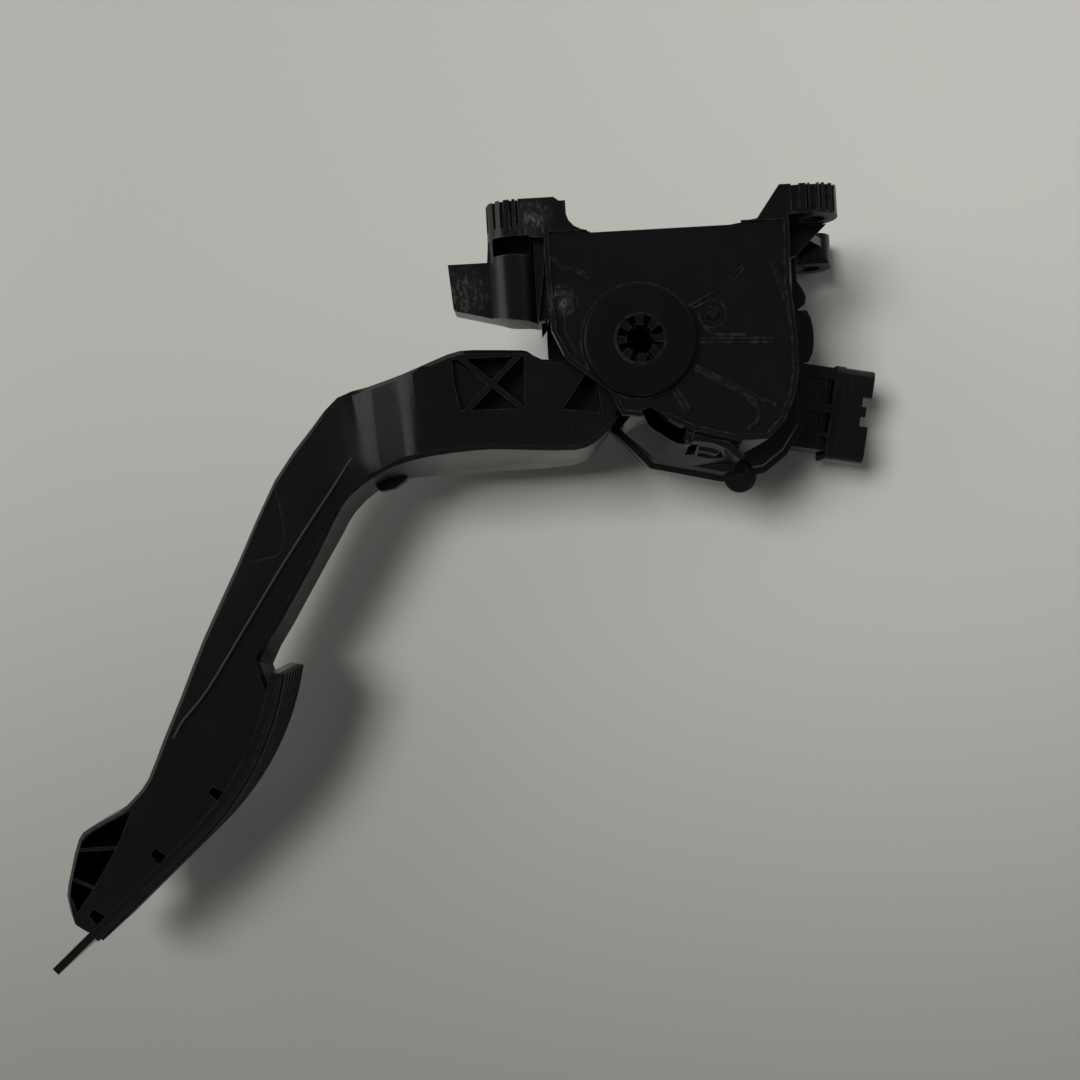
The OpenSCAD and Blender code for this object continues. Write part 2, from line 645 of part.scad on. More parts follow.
root = 0.8;
stations = concat(
    [for (row = [
        [[-2, -14], [-15.5, -4], [-15.5, -4], hub_x, 0.5, 0],
        [[-3, -22], [-23, -8], [-23.6, -8], hub_x, 0.5, 0],
        [[-3, -29.6], [-26.4, -11.2], [-28, -11.4], hub_x, 0.5, 0],
        [[-0.2, -34], [-29.6, -15.2], [-31.8, -15.2], hub_x, 0.5, 0],
        [[0.3, -38], [-31.2, -21], [-33.8, -21], hub_x, 0.5, 0],
        [[0.8, -46], [-30.6, -33], [-34.3, -33.4], hub_x, 0.5, 0],
        [[1, -54.6], [-29.6, -46], [-34.4, -47], hub_x, 0.5, 0],
        [[-1.2, -62], [-30, -58], [-34.7, -59.5], hub_x, 0.5, 0],
        [[-5, -72], [-31.6, -71], [-35, -73.4], hub_x, 0.5, 0],
        [[-6.8, -85], [-34.6, -83.4], [-38, -85], stem_x - 2.8, 0.66, 0.6],
        [[-9.4, -95], [-41.3, -93.1], [-45.3, -94], stem_x - 1.3, 0.75, 1.6],
        [[-18.8, -104], [-48.1, -98], [-52.4, -98.6], stem_x - 0.5, 0.78, 2],
        [[-34.5, -116.6], [-60, -104.8], [-62.5, -105], stem_x, 0.77, 2],
        [[-60, -129.7], [-79.1, -116.7], [-81, -116.4], stem_x, 0.67, 1.8],
        [[-83.5, -142], [-92, -124.6], [-94.4, -124.4], stem_x, 0.5, 1.4],
    ]) [pivot + row[0], pivot + row[1], pivot + row[2], row[3], row[4], row[5]]],
    [for (row = [
        [[-101.5, -150.2], 8, 0.3, 1], [[-115.5, -156.8], 24, 0.2, 0.5], [[-127.4, -162.2], 38, 0.5, 0],
        [[-133, -167], 48, 0.5, 0], [[-137.2, -172.2], 57, 0.5, 0], [[-141.6, -181.4], 68, 0.5, 0],
        [[-145.2, -185.3], 76, 0.5, 0], [[-155.2, -188.3], 87, 0.5, 0], [[-163.1, -190], 96, 0.5, 0],
        [[-171, -188.4], 104, 0.5, 0],
    ]) [pivot + row[0], pad_point(row[1], root), pad_point(row[1], root), stem_x, row[2], row[3]]]
);

// Smooth value between the stations b and c, with their neighbours a and d
function smooth(a, b, c, d, t) =
    0.5 * (2 * b + t * (c - a) + t * t * (2 * a - 5 * b + 4 * c - d) + t * t * t * (3 * b - a - 3 * c + d));
function station_at(i) = stations[max(0, min(len(stations) - 1, i))];
function station_mix(i, t) = [
    for (k = [0 : 5]) smooth(station_at(i - 1)[k], station_at(i)[k], station_at(i + 1)[k], station_at(i + 2)[k], t)
];
function arm_section(s) =
    let (across_near = unit(s[1] - s[0]))
    let (across_far = unit(s[2] - s[0]))
    let (crease = s[0] + (s[1] - s[0]) * s[4])
    [
        [hub_end_x - 1.2, s[0][0], s[0][1]],
        [hub_end_x, (s[0] + across_far * 1.2)[0], (s[0] + across_far * 1.2)[1]],
        [hub_end_x, (s[2] - across_far * 1.2)[0], (s[2] - across_far * 1.2)[1]],
        [hub_end_x - 1.2, s[2][0], s[2][1]],
        [s[3] + 1.8, s[1][0], s[1][1]],
        [s[3] + 0.4, (s[1] - across_near * 1.4)[0], (s[1] - across_near * 1.4)[1]],
        [s[3] - s[5], crease[0], crease[1]],
        [s[3] + 0.4, (s[0] + across_near * 1.4)[0], (s[0] + across_near * 1.4)[1]],
        [s[3] + 1.8, s[0][0], s[0][1]],
    ];
arm_steps = 2;
arm_sections = [
    for (i = [0 : len(stations) - 2])
        for (t = [0 : 1 / arm_steps : 0.99])
            arm_section(station_mix(i, t)),
    arm_section(station_at(len(stations) - 1)),
];

// Band along the foot plate, from its top to the distance s, between two heights off its inner face
pad_steps = 12;
function pad_band(s, d0, d1) = concat(
    [for (k = [0 : pad_steps]) pad_point(bend_len * k / pad_steps, d0)],
    [pad_point(s, d0), pad_point(s, d1)],
    [for (k = [pad_steps : -1 : 0]) pad_point(bend_len * k / pad_steps, d1)]
);
pad_x = (stem_x + hub_end_x) / 2 - pad_w / 2;

module bar(a, b, w, x0, x1) {
    d = unit(b - a);
    side = [-d[1], d[0]] * w / 2;
    across(x0, x1) polygon([a - side, b - side, b + side, a + side]);
}

module arm_pockets() {
    deep = hub_x + pocket_depth;
    difference() {
        across(hub_x - 1, deep) polygon(from_pivot([
            [-1.8, -57], [-9.5, -56.6], [-17.4, -55.2], [-17.8, -35.7], [-1.8, -35],
        ]));
        bar(pivot + [0, -56], pivot + [-19, -35], cross_rib_t, hub_x, deep + 1);
        bar(pivot + [0, -35], pivot + [-18.4, -54], cross_rib_t, hub_x, deep + 1);
        // The outer quarter is cored less deeply
        across(hub_x + 2.6, deep + 1) polygon(from_pivot([
            [-1, -57.5], [-9.6, -45.9], [-18.5, -55.2], [-17, -58], [-1, -58],
        ]));
    }
    difference() {
        across(hub_x - 1, deep) polygon(from_pivot([[-18.7, -24], [-5, -14], [-20.6, -12.2]]));
        rod_x(hub_x - 2, deep + 1, pivot, drum_r - 0.4);
    }
    // Open pockets behind the heel of the foot plate, with the two ribs between them
    difference() {
        across(stem_x - 2, hub_end_x - 2) polygon(from_pivot([
            [-136.4, -167.4], [-138.6, -171.8], [-142.9, -180.6], [-145.8, -183.9], [-155.4, -187],
            [-162.6, -188.4], [-168, -186.4], [-161.3, -181.3], [-148.4, -173],
        ]));
        bar(pivot + [-148.3, -188], pivot + [-148.3, -170], 1.1, stem_x + 0.6, hub_end_x);
        bar(pivot + [-156.2, -190], pivot + [-161.5, -179], 1.1, stem_x + 0.6, hub_end_x);
    }
    // Shallow scoop below the bend
    across(stem_x - 4, stem_x + 0.5) polygon(from_pivot([
        [-36.6, -116.8], [-40.8, -115.5], [-47.2, -114.5], [-52.9, -114.2], [-56.7, -115.1], [-58.5, -117.1],
        [-59.4, -121.6], [-60.4, -128.6], [-61.5, -134], [-34, -120],
    ]));
    for (s = [44, 71.5, 99])
        across(stem_x - 2, stem_x + 6) polygon([
            pad_point(s - 2, -0.1), pad_point(s + 1.8, -0.1), pad_point(s + 1.4, -4.2), pad_point(s - 1, -4.6),
        ]);
}

module pedal_arm() color(black) {
    difference() {
        union() {
            skin(arm_sections);
            rod_x(hub_x, hub_end_x, pivot, drum_r);
            // Lever that carries the spring cup and meets the idle stop
            across(spring_x - 9, spring_x + 9) polygon(from_pivot([
                [3, -5], [27, -5], [27.5, 0], [26, 3], [3, 3],
            ]));
            across(pad_x, pad_x + pad_w) polygon(pad_band(pad_len, 0, plate_t));
            // Lug on the far edge at the bend
            across(hub_end_x - 7, hub_end_x - 1.5) polygon(from_pivot([
                [-32.5, -73.6], [-36.4, -76.4], [-38.6, -80], [-39.3, -84.6], [-37, -86.5],
            ]));
        }
        arm_pockets();
        rod_x(hub_x - 1, hub_end_x + 1, pivot, journal_r + 1);
        for (x = [hub_x - 1, hub_end_x - bush_len])
            rod_x(x, x + bush_len + 1, pivot, hub_bore_r + running_gap);
        ring_x(hub_end_x - magnet_depth, hub_end_x + 1, pivot, magnet_in_r, magnet_out_r);
        // Room for the springs
        translate([spring_x, spring_y, spring_low_z - cup_t]) cylinder(h = 20, r = cup_r + 0.3);
    }
}

magnet_depth = 5;
magnet_in_r = hub_bore_r + 0.9;
magnet_out_r = drum_r - 1.2;
magnet_wall = 1.3;
cup_r = outer_coil_r + outer_wire / 2 + 0.9;

module rubber_pad_cover() color("#17181a") {
    rib_h = 0.8;
    pitch = pad_w / pad_rib_count;
    across(pad_x + 0.3, pad_x + pad_w - 0.3)
        polygon(pad_band(pad_len - 16, plate_t, plate_t + rubber_t - rib_h));
    for (k = [0 : pad_rib_count - 1])
        across(pad_x + pitch * (k + 0.22), pad_x + pitch * (k + 0.78))
            polygon(pad_band(pad_len - 17, plate_t + rubber_t - rib_h - 0.1, plate_t + rubber_t));
}

module hub_bushes() color("#b9a878") {
    for (x = [hub_x, hub_end_x - bush_len])
        ring_x(x, x + bush_len, pivot, journal_r + running_gap, hub_bore_r);
}

module spring_cup() color("#d8d4c8") {
    translate([spring_x, spring_y, spring_low_z - cup_t]) {
        cylinder(h = cup_t, r = cup_r);
        cylinder(h = cup_t + 2.2, r = inner_coil_r - inner_wire / 2 - 0.4);
    }
}

// A closed coil of round wire, standing on z = 0
module coil(coil_r, wire_d, turns, height, sides) {
    per_turn = 16;
    rise = (height - wire_d) / turns;
    rings = [
        for (k = [0 : turns * per_turn])
            let (turn = k * 360 / per_turn)
            let (mid = [coil_r * cos(turn), coil_r * sin(turn), wire_d / 2 + rise * k / per_turn])
            [for (j = [0 : sides - 1])
                let (a = -j * 360 / sides)
                mid + [cos(turn) * cos(a), sin(turn) * cos(a), sin(a)] * wire_d / 2]
    ];
    skin(rings);
}

module outer_return_spring() color(steel) {
    translate([spring_x, spring_y, spring_low_z])
        coil(outer_coil_r, outer_wire, outer_turns, spring_high_z - spring_low_z, 8);
}

module inner_return_spring() color(steel) {
    translate([spring_x, spring_y, spring_low_z])
        coil(inner_coil_r, inner_wire, inner_turns, spring_high_z - spring_low_z, 6);
}

module sensor_magnets() color("#55585e") {
    for (turn = [0, 180])
        intersection() {
            ring_x(hub_end_x - magnet_depth, hub_end_x - 0.2, pivot, magnet_in_r + 0.05, magnet_out_r - magnet_wall);
            translate([0, pivot_y, pivot_z]) rotate([turn, 0, 0]) translate([0, -pivot_y, -pivot_z])
                across(hub_end_x - magnet_depth - 1, hub_end_x + 1)
                    polygon([pivot, pivot + polar(30, -42), pivot + polar(30, 0), pivot + polar(30, 42)]);
        }
}

module magnet_ring() color(steel) {
    ring_x(hub_end_x - magnet_depth, hub_end_x - 0.2, pivot, magnet_out_r - magnet_wall + 0.05, magnet_out_r - 0.05);
}

// Sensor side: cover with its connector shroud, board and terminals

gasket_t = 0.8;
cover_x = back_x + gasket_t;
cover_end_x = back_x + cover_depth;
cover_loop = inset(far_loop, 1.2);
shroud_x = back_x + 1;
shroud_mid_x = shroud_x + shroud_d / 2;
shroud_at = pivot + [-2.5, 63];
shroud_base = 12;
shroud_foot = -shroud_w + 2.5;
collar_out = 0.8;
board_x = cover_x + 2;
board_posts = [pivot + [12, 22], pivot + [-18, 22]];
board_screw_r = 1.2;
terminal_pitch = 4;
terminal_top = -(shroud_w - (terminal_count - 1) * terminal_pitch) / 2;

module in_shroud() {
    translate([0, shroud_at[0], shroud_at[1]]) rotate([shroud_tilt, 0, 0]) children();
}

module terminal_rows(extra) {
    in_shroud()
        for (k = [0 : terminal_count - 1])
            translate([shroud_mid_x, terminal_top - k * terminal_pitch, 0]) {
                box([-0.3 - extra, -0.8 - extra, -24], [0.3 + extra, 0.8 + extra, shroud_len - 5]);
                box([board_x - shroud_mid_x, -0.4, -24], [0.3, 0.4, -23.4]);
            }
}

module cover_bosses(x0, x1, r) {
    for (p = cover_boss_points) rod_x(x0, x1, p, r);
}

// A block from low to high with its four edges along the mating direction rounded
module rounded(low, high, r) {
    translate([0, 0, low[2]]) linear_extrude(high[2] - low[2]) {
        translate([low[0] + r, low[1]]) square([high[0] - low[0] - 2 * r, high[1] - low[1]]);
        translate([low[0], low[1] + r]) square([high[0] - low[0], high[1] - low[1] - 2 * r]);
        for (x = [low[0] + r, high[0] - r])
            for (y = [low[1] + r, high[1] - r])
                translate([x, y]) circle(r = r);
    }
}

module shroud_solid() {
    x1 = shroud_x + shroud_d;
    in_shroud() {
        box([shroud_x, shroud_foot, -13.5], [x1, -1, shroud_base - 3]);
        rounded([shroud_x - collar_out, -shroud_w - 0.2, shroud_base - 3], [x1, 0.2, shroud_base], shroud_round);
        rounded([shroud_x, -shroud_w, shroud_base - 0.1], [x1, 0, shroud_len], shroud_round);
    }
}

module sensor_cover() color(black) {
    difference() {
        union() {
            across(cover_x, cover_end_x) polygon(cover_loop);
            cover_bosses(cover_x, cover_end_x, cover_boss_r - 0.4);
            shroud_solid();
        }
        difference() {
            across(cover_x - 1, cover_end_x - cover_wall) polygon(inset(cover_loop, cover_wall));
            cover_bosses(cover_x - 2, cover_end_x, cover_boss_r - 0.4);
            in_shroud() box([shroud_x - 3, shroud_foot, -13.5], [shroud_x + shroud_d, -1, 0]);
        }
        cover_bosses(cover_x - 1, cover_end_x + 1, cover_screw_r + 0.25);
        terminal_rows(0.05);
        in_shroud() {
            // Mating socket
            rounded([shroud_x + shroud_wall, -shroud_w + shroud_wall, shroud_base - 4],
                [shroud_x + shroud_d - shroud_wall, -shroud_wall, shroud_len + 1], shroud_round - shroud_wall);
            // Cored windows in the near side of the base, each with a deep slot at its head
            for (w = [[-13.7, -5], [-23.6, -16.4], [-28.2, -24.8]]) {
                box([shroud_x - 1, w[0], 0.5], [shroud_x + 0.7, w[1], 5.6]);
                box([shroud_x - 1, w[0], 5.9], [shroud_x + 2.2, w[1], 8.6]);
            }
            // Cut-out for the mate's latch
            box([shroud_x - 1, -19.5, shroud_len - 3], [shroud_x + shroud_wall + 1, -9.5, shroud_len + 1]);
        }
    }
    in_shroud() box([shroud_x, -16.2, shroud_len - 3.2], [shroud_x + shroud_wall, -12.8, shroud_len - 1.4]);
    for (p = board_posts) ring_x(board_x + board_t, cover_end_x - cover_wall + 0.1, p, board_screw_r, 2.8);
}

module cover_gasket() color("#2b2b2b") {
    difference() {
        union() {
            difference() {
                across(back_x, cover_x) polygon(cover_loop);
                across(back_x - 1, cover_x + 1) polygon(inset(cover_loop, cover_wall));
            }
            cover_bosses(back_x, cover_x, cover_boss_r - 0.4);
        }
        cover_bosses(back_x - 1, cover_x + 1, cover_screw_r + 0.25);
    }
}

module cover_screws() color(steel) {
    for (p = cover_boss_points)
        difference() {
            union() {
                rod_x(back_x - cover_screw_len + 4, cover_end_x, p, cover_screw_r);
                rod_x(cover_end_x, cover_end_x + 2, p, cover_screw_r + 1.6);
            }
            translate([cover_end_x + 0.8, p[0], p[1]]) rotate([0, 90, 0]) cylinder(h = 2, r = 1.5, $fn = 6);
        }
}

board_loop = from_pivot([
    [17, -20], [17, 24], [6, 40.5], [-23, 40.5], [-29, 36.5], [-29, 26], [-32, 20], [-32, 17], [-21, 1.5],
    [-3, -16], [3, -20],
]);

module circuit_board() color("#1d5a36") {
    difference() {
        across(board_x, board_x + board_t) polygon(board_loop);
        for (p = board_posts) rod_x(board_x - 1, board_x + board_t + 1, p, board_screw_r + 0.1);
        terminal_rows(0.1);
    }
}

module sensor_chips() color("#202124") {
    for (turn = [90, 270])
        translate([board_x - 1.1, pivot_y, pivot_z]) rotate([turn, 0, 0]) box([0, -2.6, 11.6], [1.1, 2.6, 16.6]);
}

module board_capacitors() color("#8a6a48") {
    for (k = [0 : 4])
        translate([board_x + board_t, pivot_y - 4 - 3.4 * k, pivot_z + 28]) cube([0.9, 1.3, 2.2]);
}

module board_screws() color(steel) {
    for (p = board_posts) {
        rod_x(board_x, cover_end_x - cover_wall - 2, p, board_screw_r);
        rod_x(board_x - 1, board_x, p, 2.2);
    }
}

module connector_terminals() color("#c9b27c") {
    terminal_rows(0);
}

housing();
foot_sleeves();
pivot_axle();
hysteresis_lever();
lever_pin_rod();  // lever_pin
friction_lining();
idle_stop_pad();
pedal_arm();
rubber_pad_cover();
hub_bushes();
spring_cup();
outer_return_spring();
inner_return_spring();
sensor_magnets();
magnet_ring();
sensor_cover();
cover_gasket();
cover_screws();
circuit_board();
sensor_chips();
board_capacitors();
connector_terminals();
board_screws();
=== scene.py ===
"""Looks of a hanging accelerator pedal: moulded plastic, ribbed rubber, plated steel, a plain stage."""

import logging
import math
from dataclasses import dataclass, field
from enum import Enum
from typing import Callable

import bmesh
import bpy
from mathutils import Matrix, Vector


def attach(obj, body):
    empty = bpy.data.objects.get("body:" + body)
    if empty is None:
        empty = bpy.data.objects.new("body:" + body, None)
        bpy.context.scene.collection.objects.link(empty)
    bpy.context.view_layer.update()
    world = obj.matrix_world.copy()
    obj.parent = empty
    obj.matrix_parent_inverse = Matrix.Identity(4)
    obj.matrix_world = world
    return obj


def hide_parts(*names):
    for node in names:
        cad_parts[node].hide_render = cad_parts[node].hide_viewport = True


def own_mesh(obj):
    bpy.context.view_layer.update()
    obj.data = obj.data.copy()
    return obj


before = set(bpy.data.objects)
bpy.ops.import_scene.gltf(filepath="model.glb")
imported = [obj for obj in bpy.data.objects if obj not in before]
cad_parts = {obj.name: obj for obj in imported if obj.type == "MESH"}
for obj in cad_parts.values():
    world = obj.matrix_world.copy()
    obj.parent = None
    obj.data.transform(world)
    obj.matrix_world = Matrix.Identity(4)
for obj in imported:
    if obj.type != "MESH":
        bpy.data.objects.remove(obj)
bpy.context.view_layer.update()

log = logging.getLogger("pedal")

Triple = tuple[float, float, float]

# Places that the source of the solids also names, in metres
PIVOT = Vector((0.0, -0.0445, -0.0095))
SPRING_SEAT = Vector((0.0135, -0.025, -0.005))
SPRING_TOP_Z = 0.015
COVER_END_X = 0.050
SCREW_START_X = 0.028
SCREW_POINTS = ((-0.0355, 0.031), (0.0045, 0.0468), (0.020, 0.0468), (0.021, -0.029))
SHROUD_AT = Vector((0.044, -0.047, 0.0535))
SHROUD_TILT = math.radians(11.5)

# How alike the true and the rounded normal are on flat ground and on a fully marked edge
FLAT_ENOUGH = 0.985
SHARP_ENOUGH = 0.86


class Grain(Enum):
    """How fine the texture of a moulded surface is: scale per metre and depth in metres."""

    SATIN = (2600.0, 0.000012)
    COARSE = (1700.0, 0.00003)


def shade(colour: Triple, factor: float = 1.0, lift: float = 0.0) -> tuple[float, float, float, float]:
    """Make an opaque, lighter or darker shade of a colour.

    Args:
        colour: The colour to start from.
        factor: Factor on each channel.
        lift: Amount added to each channel.

    Returns:
        The shade with its alpha.
    """
    return (*(min(1.0, c * factor + lift) for c in colour), 1.0)


class Bench:
    """A small workbench for the nodes of one material."""

    def __init__(self, name: str) -> None:
        """Start an empty node material.

        Args:
            name: Name of the material.
        """
        self.material = bpy.data.materials.new(name)
        self.material.use_nodes = True
        self.tree = self.material.node_tree
        self.tree.nodes.clear()
        self.output = self.tree.nodes.new("ShaderNodeOutputMaterial")
        self.place = self.node("ShaderNodeTexCoord").outputs["Object"]

    def node(self, kind: str, **settings: object) -> bpy.types.Node:
        """Add a node and set its properties.

        Args:
            kind: Blender's name of the node type.
            settings: Properties of the node.

        Returns:
            The new node.
        """
        made = self.tree.nodes.new(kind)
        for key, value in settings.items():
            setattr(made, key, value)
        return made

    def feed(self, socket: bpy.types.NodeSocket, value: object) -> None:
        """Link an output to a socket, or set the socket's own value.

        Args:
            socket: The input socket.
            value: An output socket or a plain value.
        """
        if isinstance(value, bpy.types.NodeSocket):
            self.tree.links.new(value, socket)
        else:
            socket.default_value = value

    def math(self, how: str, *values: object, clamp: bool = False) -> bpy.types.NodeSocket:
        """Do one sum on two or three values.

        Args:
            how: Operation of the Math node.
            values: Values of the sum, in order.
            clamp: Keep the result between 0 and 1.

        Returns:
            The result's socket.
        """
        made = self.node("ShaderNodeMath", operation=how, use_clamp=clamp)
        for socket, value in zip(made.inputs, values):
            self.feed(socket, value)
        return made.outputs[0]

    def spread(
        self, value: object, low: float, high: float, to_low: float, to_high: float,
    ) -> bpy.types.NodeSocket:
        """Map a range of values smoothly to another range.

        Args:
            value: Value to map.
            low: Start of the old range.
            high: End of the old range.
            to_low: Start of the new range.
            to_high: End of the new range.

        Returns:
            The mapped value's socket.
        """
        made = self.node("ShaderNodeMapRange", interpolation_type="SMOOTHSTEP")
        for socket, number in zip(made.inputs, (value, low, high, to_low, to_high)):
            self.feed(socket, number)
        return made.outputs[0]

    def stretched(self, scale: Triple, turn: Triple = (0.0, 0.0, 0.0)) -> bpy.types.NodeSocket:
        """Stretch the object's own coordinates.

        Args:
            scale: Factor along each axis.
            turn: Rotation in radians.

        Returns:
            The stretched coordinates.
        """
        made = self.node("ShaderNodeMapping")
        self.feed(made.inputs["Vector"], self.place)
        made.inputs["Scale"].default_value = scale
        made.inputs["Rotation"].default_value = turn
        return made.outputs[0]

    def noise(
        self, scale: float, detail: float = 4.0, rough: float = 0.55, where: object = None,
    ) -> bpy.types.NodeSocket:
        """Add a noise pattern on the object's own coordinates.

        Args:
            scale: Pattern scale per metre.
            detail: Octaves of the pattern.
            rough: Weight of the finer octaves.
            where: Coordinates to read, or the plain ones.

        Returns:
            The noise value's socket.
        """
        made = self.node("ShaderNodeTexNoise")
        self.feed(made.inputs["Vector"], where or self.place)
        made.inputs["Scale"].default_value = scale
        made.inputs["Detail"].default_value = detail
        made.inputs["Roughness"].default_value = rough
        return made.outputs["Fac"]

    def blend(self, share: object, first: object, second: object) -> bpy.types.NodeSocket:
        """Mix two colours.

        Args:
            share: Share of the second colour.
            first: First colour.
            second: Second colour.

        Returns:
            The mixed colour's socket.
        """
        made = self.node("ShaderNodeMix", data_type="RGBA")
        self.feed(made.inputs["Factor"], share)
        self.feed(made.inputs["A"], first)
        self.feed(made.inputs["B"], second)
        return made.outputs["Result"]

    def drawn_noise(
        self, stretch: Triple, turn: Triple = (0.0, 0.0, 0.0), detail: float = 2.0, rough: float = 0.6,
    ) -> bpy.types.NodeSocket:
        """Add a noise pattern with a scale for each axis, turned by angles in radians."""
        return self.noise(1.0, detail, rough, self.stretched(stretch, turn))

    def outer_edges(self, radius: float) -> bpy.types.NodeSocket:
        """Find the outer edges and corners, where handling rubs and where the plastics paint highlights.

        Args:
            radius: Reach of the edge mark from the edge, in metres.

        Returns:
            A value from 0 on flat ground to 1 on an edge.
        """
        rounded = self.node("ShaderNodeBevel", samples=4)
        rounded.inputs["Radius"].default_value = radius
        flat = self.node("ShaderNodeNewGeometry")
        dot = self.node("ShaderNodeVectorMath", operation="DOT_PRODUCT")
        self.feed(dot.inputs[0], rounded.outputs[0])
        self.feed(dot.inputs[1], flat.outputs["Normal"])
        return self.spread(dot.outputs["Value"], FLAT_ENOUGH, SHARP_ENOUGH, 0.0, 1.0)

    def relief(self, *layers: tuple[object, float]) -> bpy.types.NodeSocket:
        """Stack bumps on one another.

        Args:
            layers: Height and depth in metres of each layer.

        Returns:
            The bumped normal's socket.
        """
        normal = None
        for height, depth in layers:
            bump = self.node("ShaderNodeBump")
            bump.inputs["Strength"].default_value = 1.0
            bump.inputs["Distance"].default_value = depth
            self.feed(bump.inputs["Height"], height)
            if normal is not None:
                self.feed(bump.inputs["Normal"], normal)
            normal = bump.outputs[0]
        return normal

    def principled(
        self, colour: object, roughness: object, normal: object, **plain: float,
    ) -> bpy.types.Material:
        """Close the material with one surface shader.

        Args:
            colour: Base colour.
            roughness: Roughness.
            normal: Bumped normal.
            plain: Uniform values set on the shader's own sockets.

        Returns:
            The finished material.
        """
        shader = self.node("ShaderNodeBsdfPrincipled")
        self.feed(shader.inputs["Base Color"], colour)
        self.feed(shader.inputs["Roughness"], roughness)
        self.feed(shader.inputs["Normal"], normal)
        for key, value in plain.items():
            shader.inputs[key.replace("_", " ")].default_value = value
        self.tree.links.new(shader.outputs[0], self.output.inputs[0])
        return self.material


@dataclass(frozen=True)
class ScuffAndGlint:
    """A lighter patch on a surface, for rubbing and for painted glints: its centre and reach in metres, and
    how strong it is.
    """

    centre: Triple
    reach: float
    strength: float


@dataclass(frozen=True)
class MouldedPlastic:
    """Black glass-filled plastic with grain, flow marks, fine scratches, and patches and edges lightened by
    rubbing and by painted highlights.
    """

    name: str
    colour: Triple = (0.0044, 0.0045, 0.0048)
    mark_colour: Triple = (0.115, 0.113, 0.108)
    roughness: float = 0.32
    mark_roughness: float = 0.22
    grain: Grain = Grain.SATIN
    wear_and_highlight: float = 0.3
    wear_and_highlight_reach: float = 0.0005
    scratches: float = 0.25
    sheen: float = 0.30
    scuffs_and_glints: tuple[ScuffAndGlint, ...] = ()
    cloud_scale: float = 38.0
    flow_depth: float = 0.00003
    scratch_depth: float = 0.00001

    def material(self) -> bpy.types.Material:
        """Build the material.

        Returns:
            The node material.
        """
        b = Bench(self.name)
        scale, depth = self.grain.value
        grain = b.noise(scale, 2.0, 0.5)
        cloud = b.noise(self.cloud_scale, 3.0, 0.55)
        flow = b.drawn_noise((60.0, 14.0, 14.0), (0.3, 0.0, 0.2), 3.0, 0.5)
        lines = self.scratched(b, cloud)
        # Edge marks: rubbing and painted highlights on the edges
        marks = b.math("MAXIMUM", lines, self.edge_wear_and_highlight(b))
        # Lighter patches: scuffs and painted glints
        for spot in self.scuffs_and_glints:
            marks = b.math("MAXIMUM", marks, self.patch(b, spot))
        tone = b.blend(cloud, shade(self.colour, 0.82), shade(self.colour, 1.22))
        colour = b.blend(marks, tone, shade(self.mark_colour))
        cloudy = b.spread(cloud, 0.3, 0.7, self.roughness - 0.05, self.roughness + 0.06)
        rough = b.math("ADD", cloudy, b.spread(flow, 0.35, 0.65, -0.03, 0.03))
        rough = b.math("MULTIPLY_ADD", marks, self.mark_roughness, rough, clamp=True)
        normal = b.relief((flow, self.flow_depth), (lines, self.scratch_depth), (grain, depth))
        return b.principled(colour, rough, normal, Specular_IOR_Level=self.sheen)

    def scratched(self, b: Bench, cloud: bpy.types.NodeSocket) -> bpy.types.NodeSocket:
        """Draw fine scratches that cross each other and come and go.

        Args:
            b: Workbench of the material.
            cloud: Slow pattern that says where there are any.

        Returns:
            Strength of the scratches at each point.
        """
        along = b.drawn_noise((900.0, 60.0, 2200.0), (0.5, 0.1, 0.4))
        across = b.drawn_noise((700.0, 2000.0, 50.0), (0.2, 0.0, 0.7))
        along = b.spread(along, 0.70, 0.76, 0.0, 1.0)
        across = b.spread(across, 0.71, 0.77, 0.0, 1.0)
        lines = b.math("MAXIMUM", along, across)
        return b.math("MULTIPLY", lines, b.spread(cloud, 0.5, 0.68, 0.0, self.scratches))

    def edge_wear_and_highlight(self, b: Bench) -> bpy.types.NodeSocket:
        """Lighten the edges unevenly, by rubbing and as a painted highlight, and say how much at each
        point.
        """
        uneven = b.spread(b.noise(420.0), 0.42, 0.66, 0.1, self.wear_and_highlight)
        return b.math("MULTIPLY", b.outer_edges(self.wear_and_highlight_reach), uneven, clamp=True)

    def patch(self, b: Bench, spot: ScuffAndGlint) -> bpy.types.NodeSocket:
        """Break one lighter patch of scuffs and painted glints into streaks.

        Args:
            b: Workbench of the material.
            spot: The patch.

        Returns:
            Strength of the patch at each point.
        """
        away = b.node("ShaderNodeVectorMath", operation="DISTANCE")
        b.feed(away.inputs[0], b.place)
        away.inputs[1].default_value = spot.centre
        near = b.spread(away.outputs["Value"], spot.reach, spot.reach * 0.25, 0.0, 1.0)
        drawn = b.drawn_noise((500.0, 420.0, 900.0), (0.0, 0.5, 0.3), 4.0, 0.65)
        streaks = b.spread(drawn, 0.47, 0.66, 0.0, spot.strength)
        haze = b.math("MULTIPLY", b.noise(260.0, 3.0), 0.25 * spot.strength)
        return b.math("MULTIPLY", near, b.math("MAXIMUM", streaks, haze))


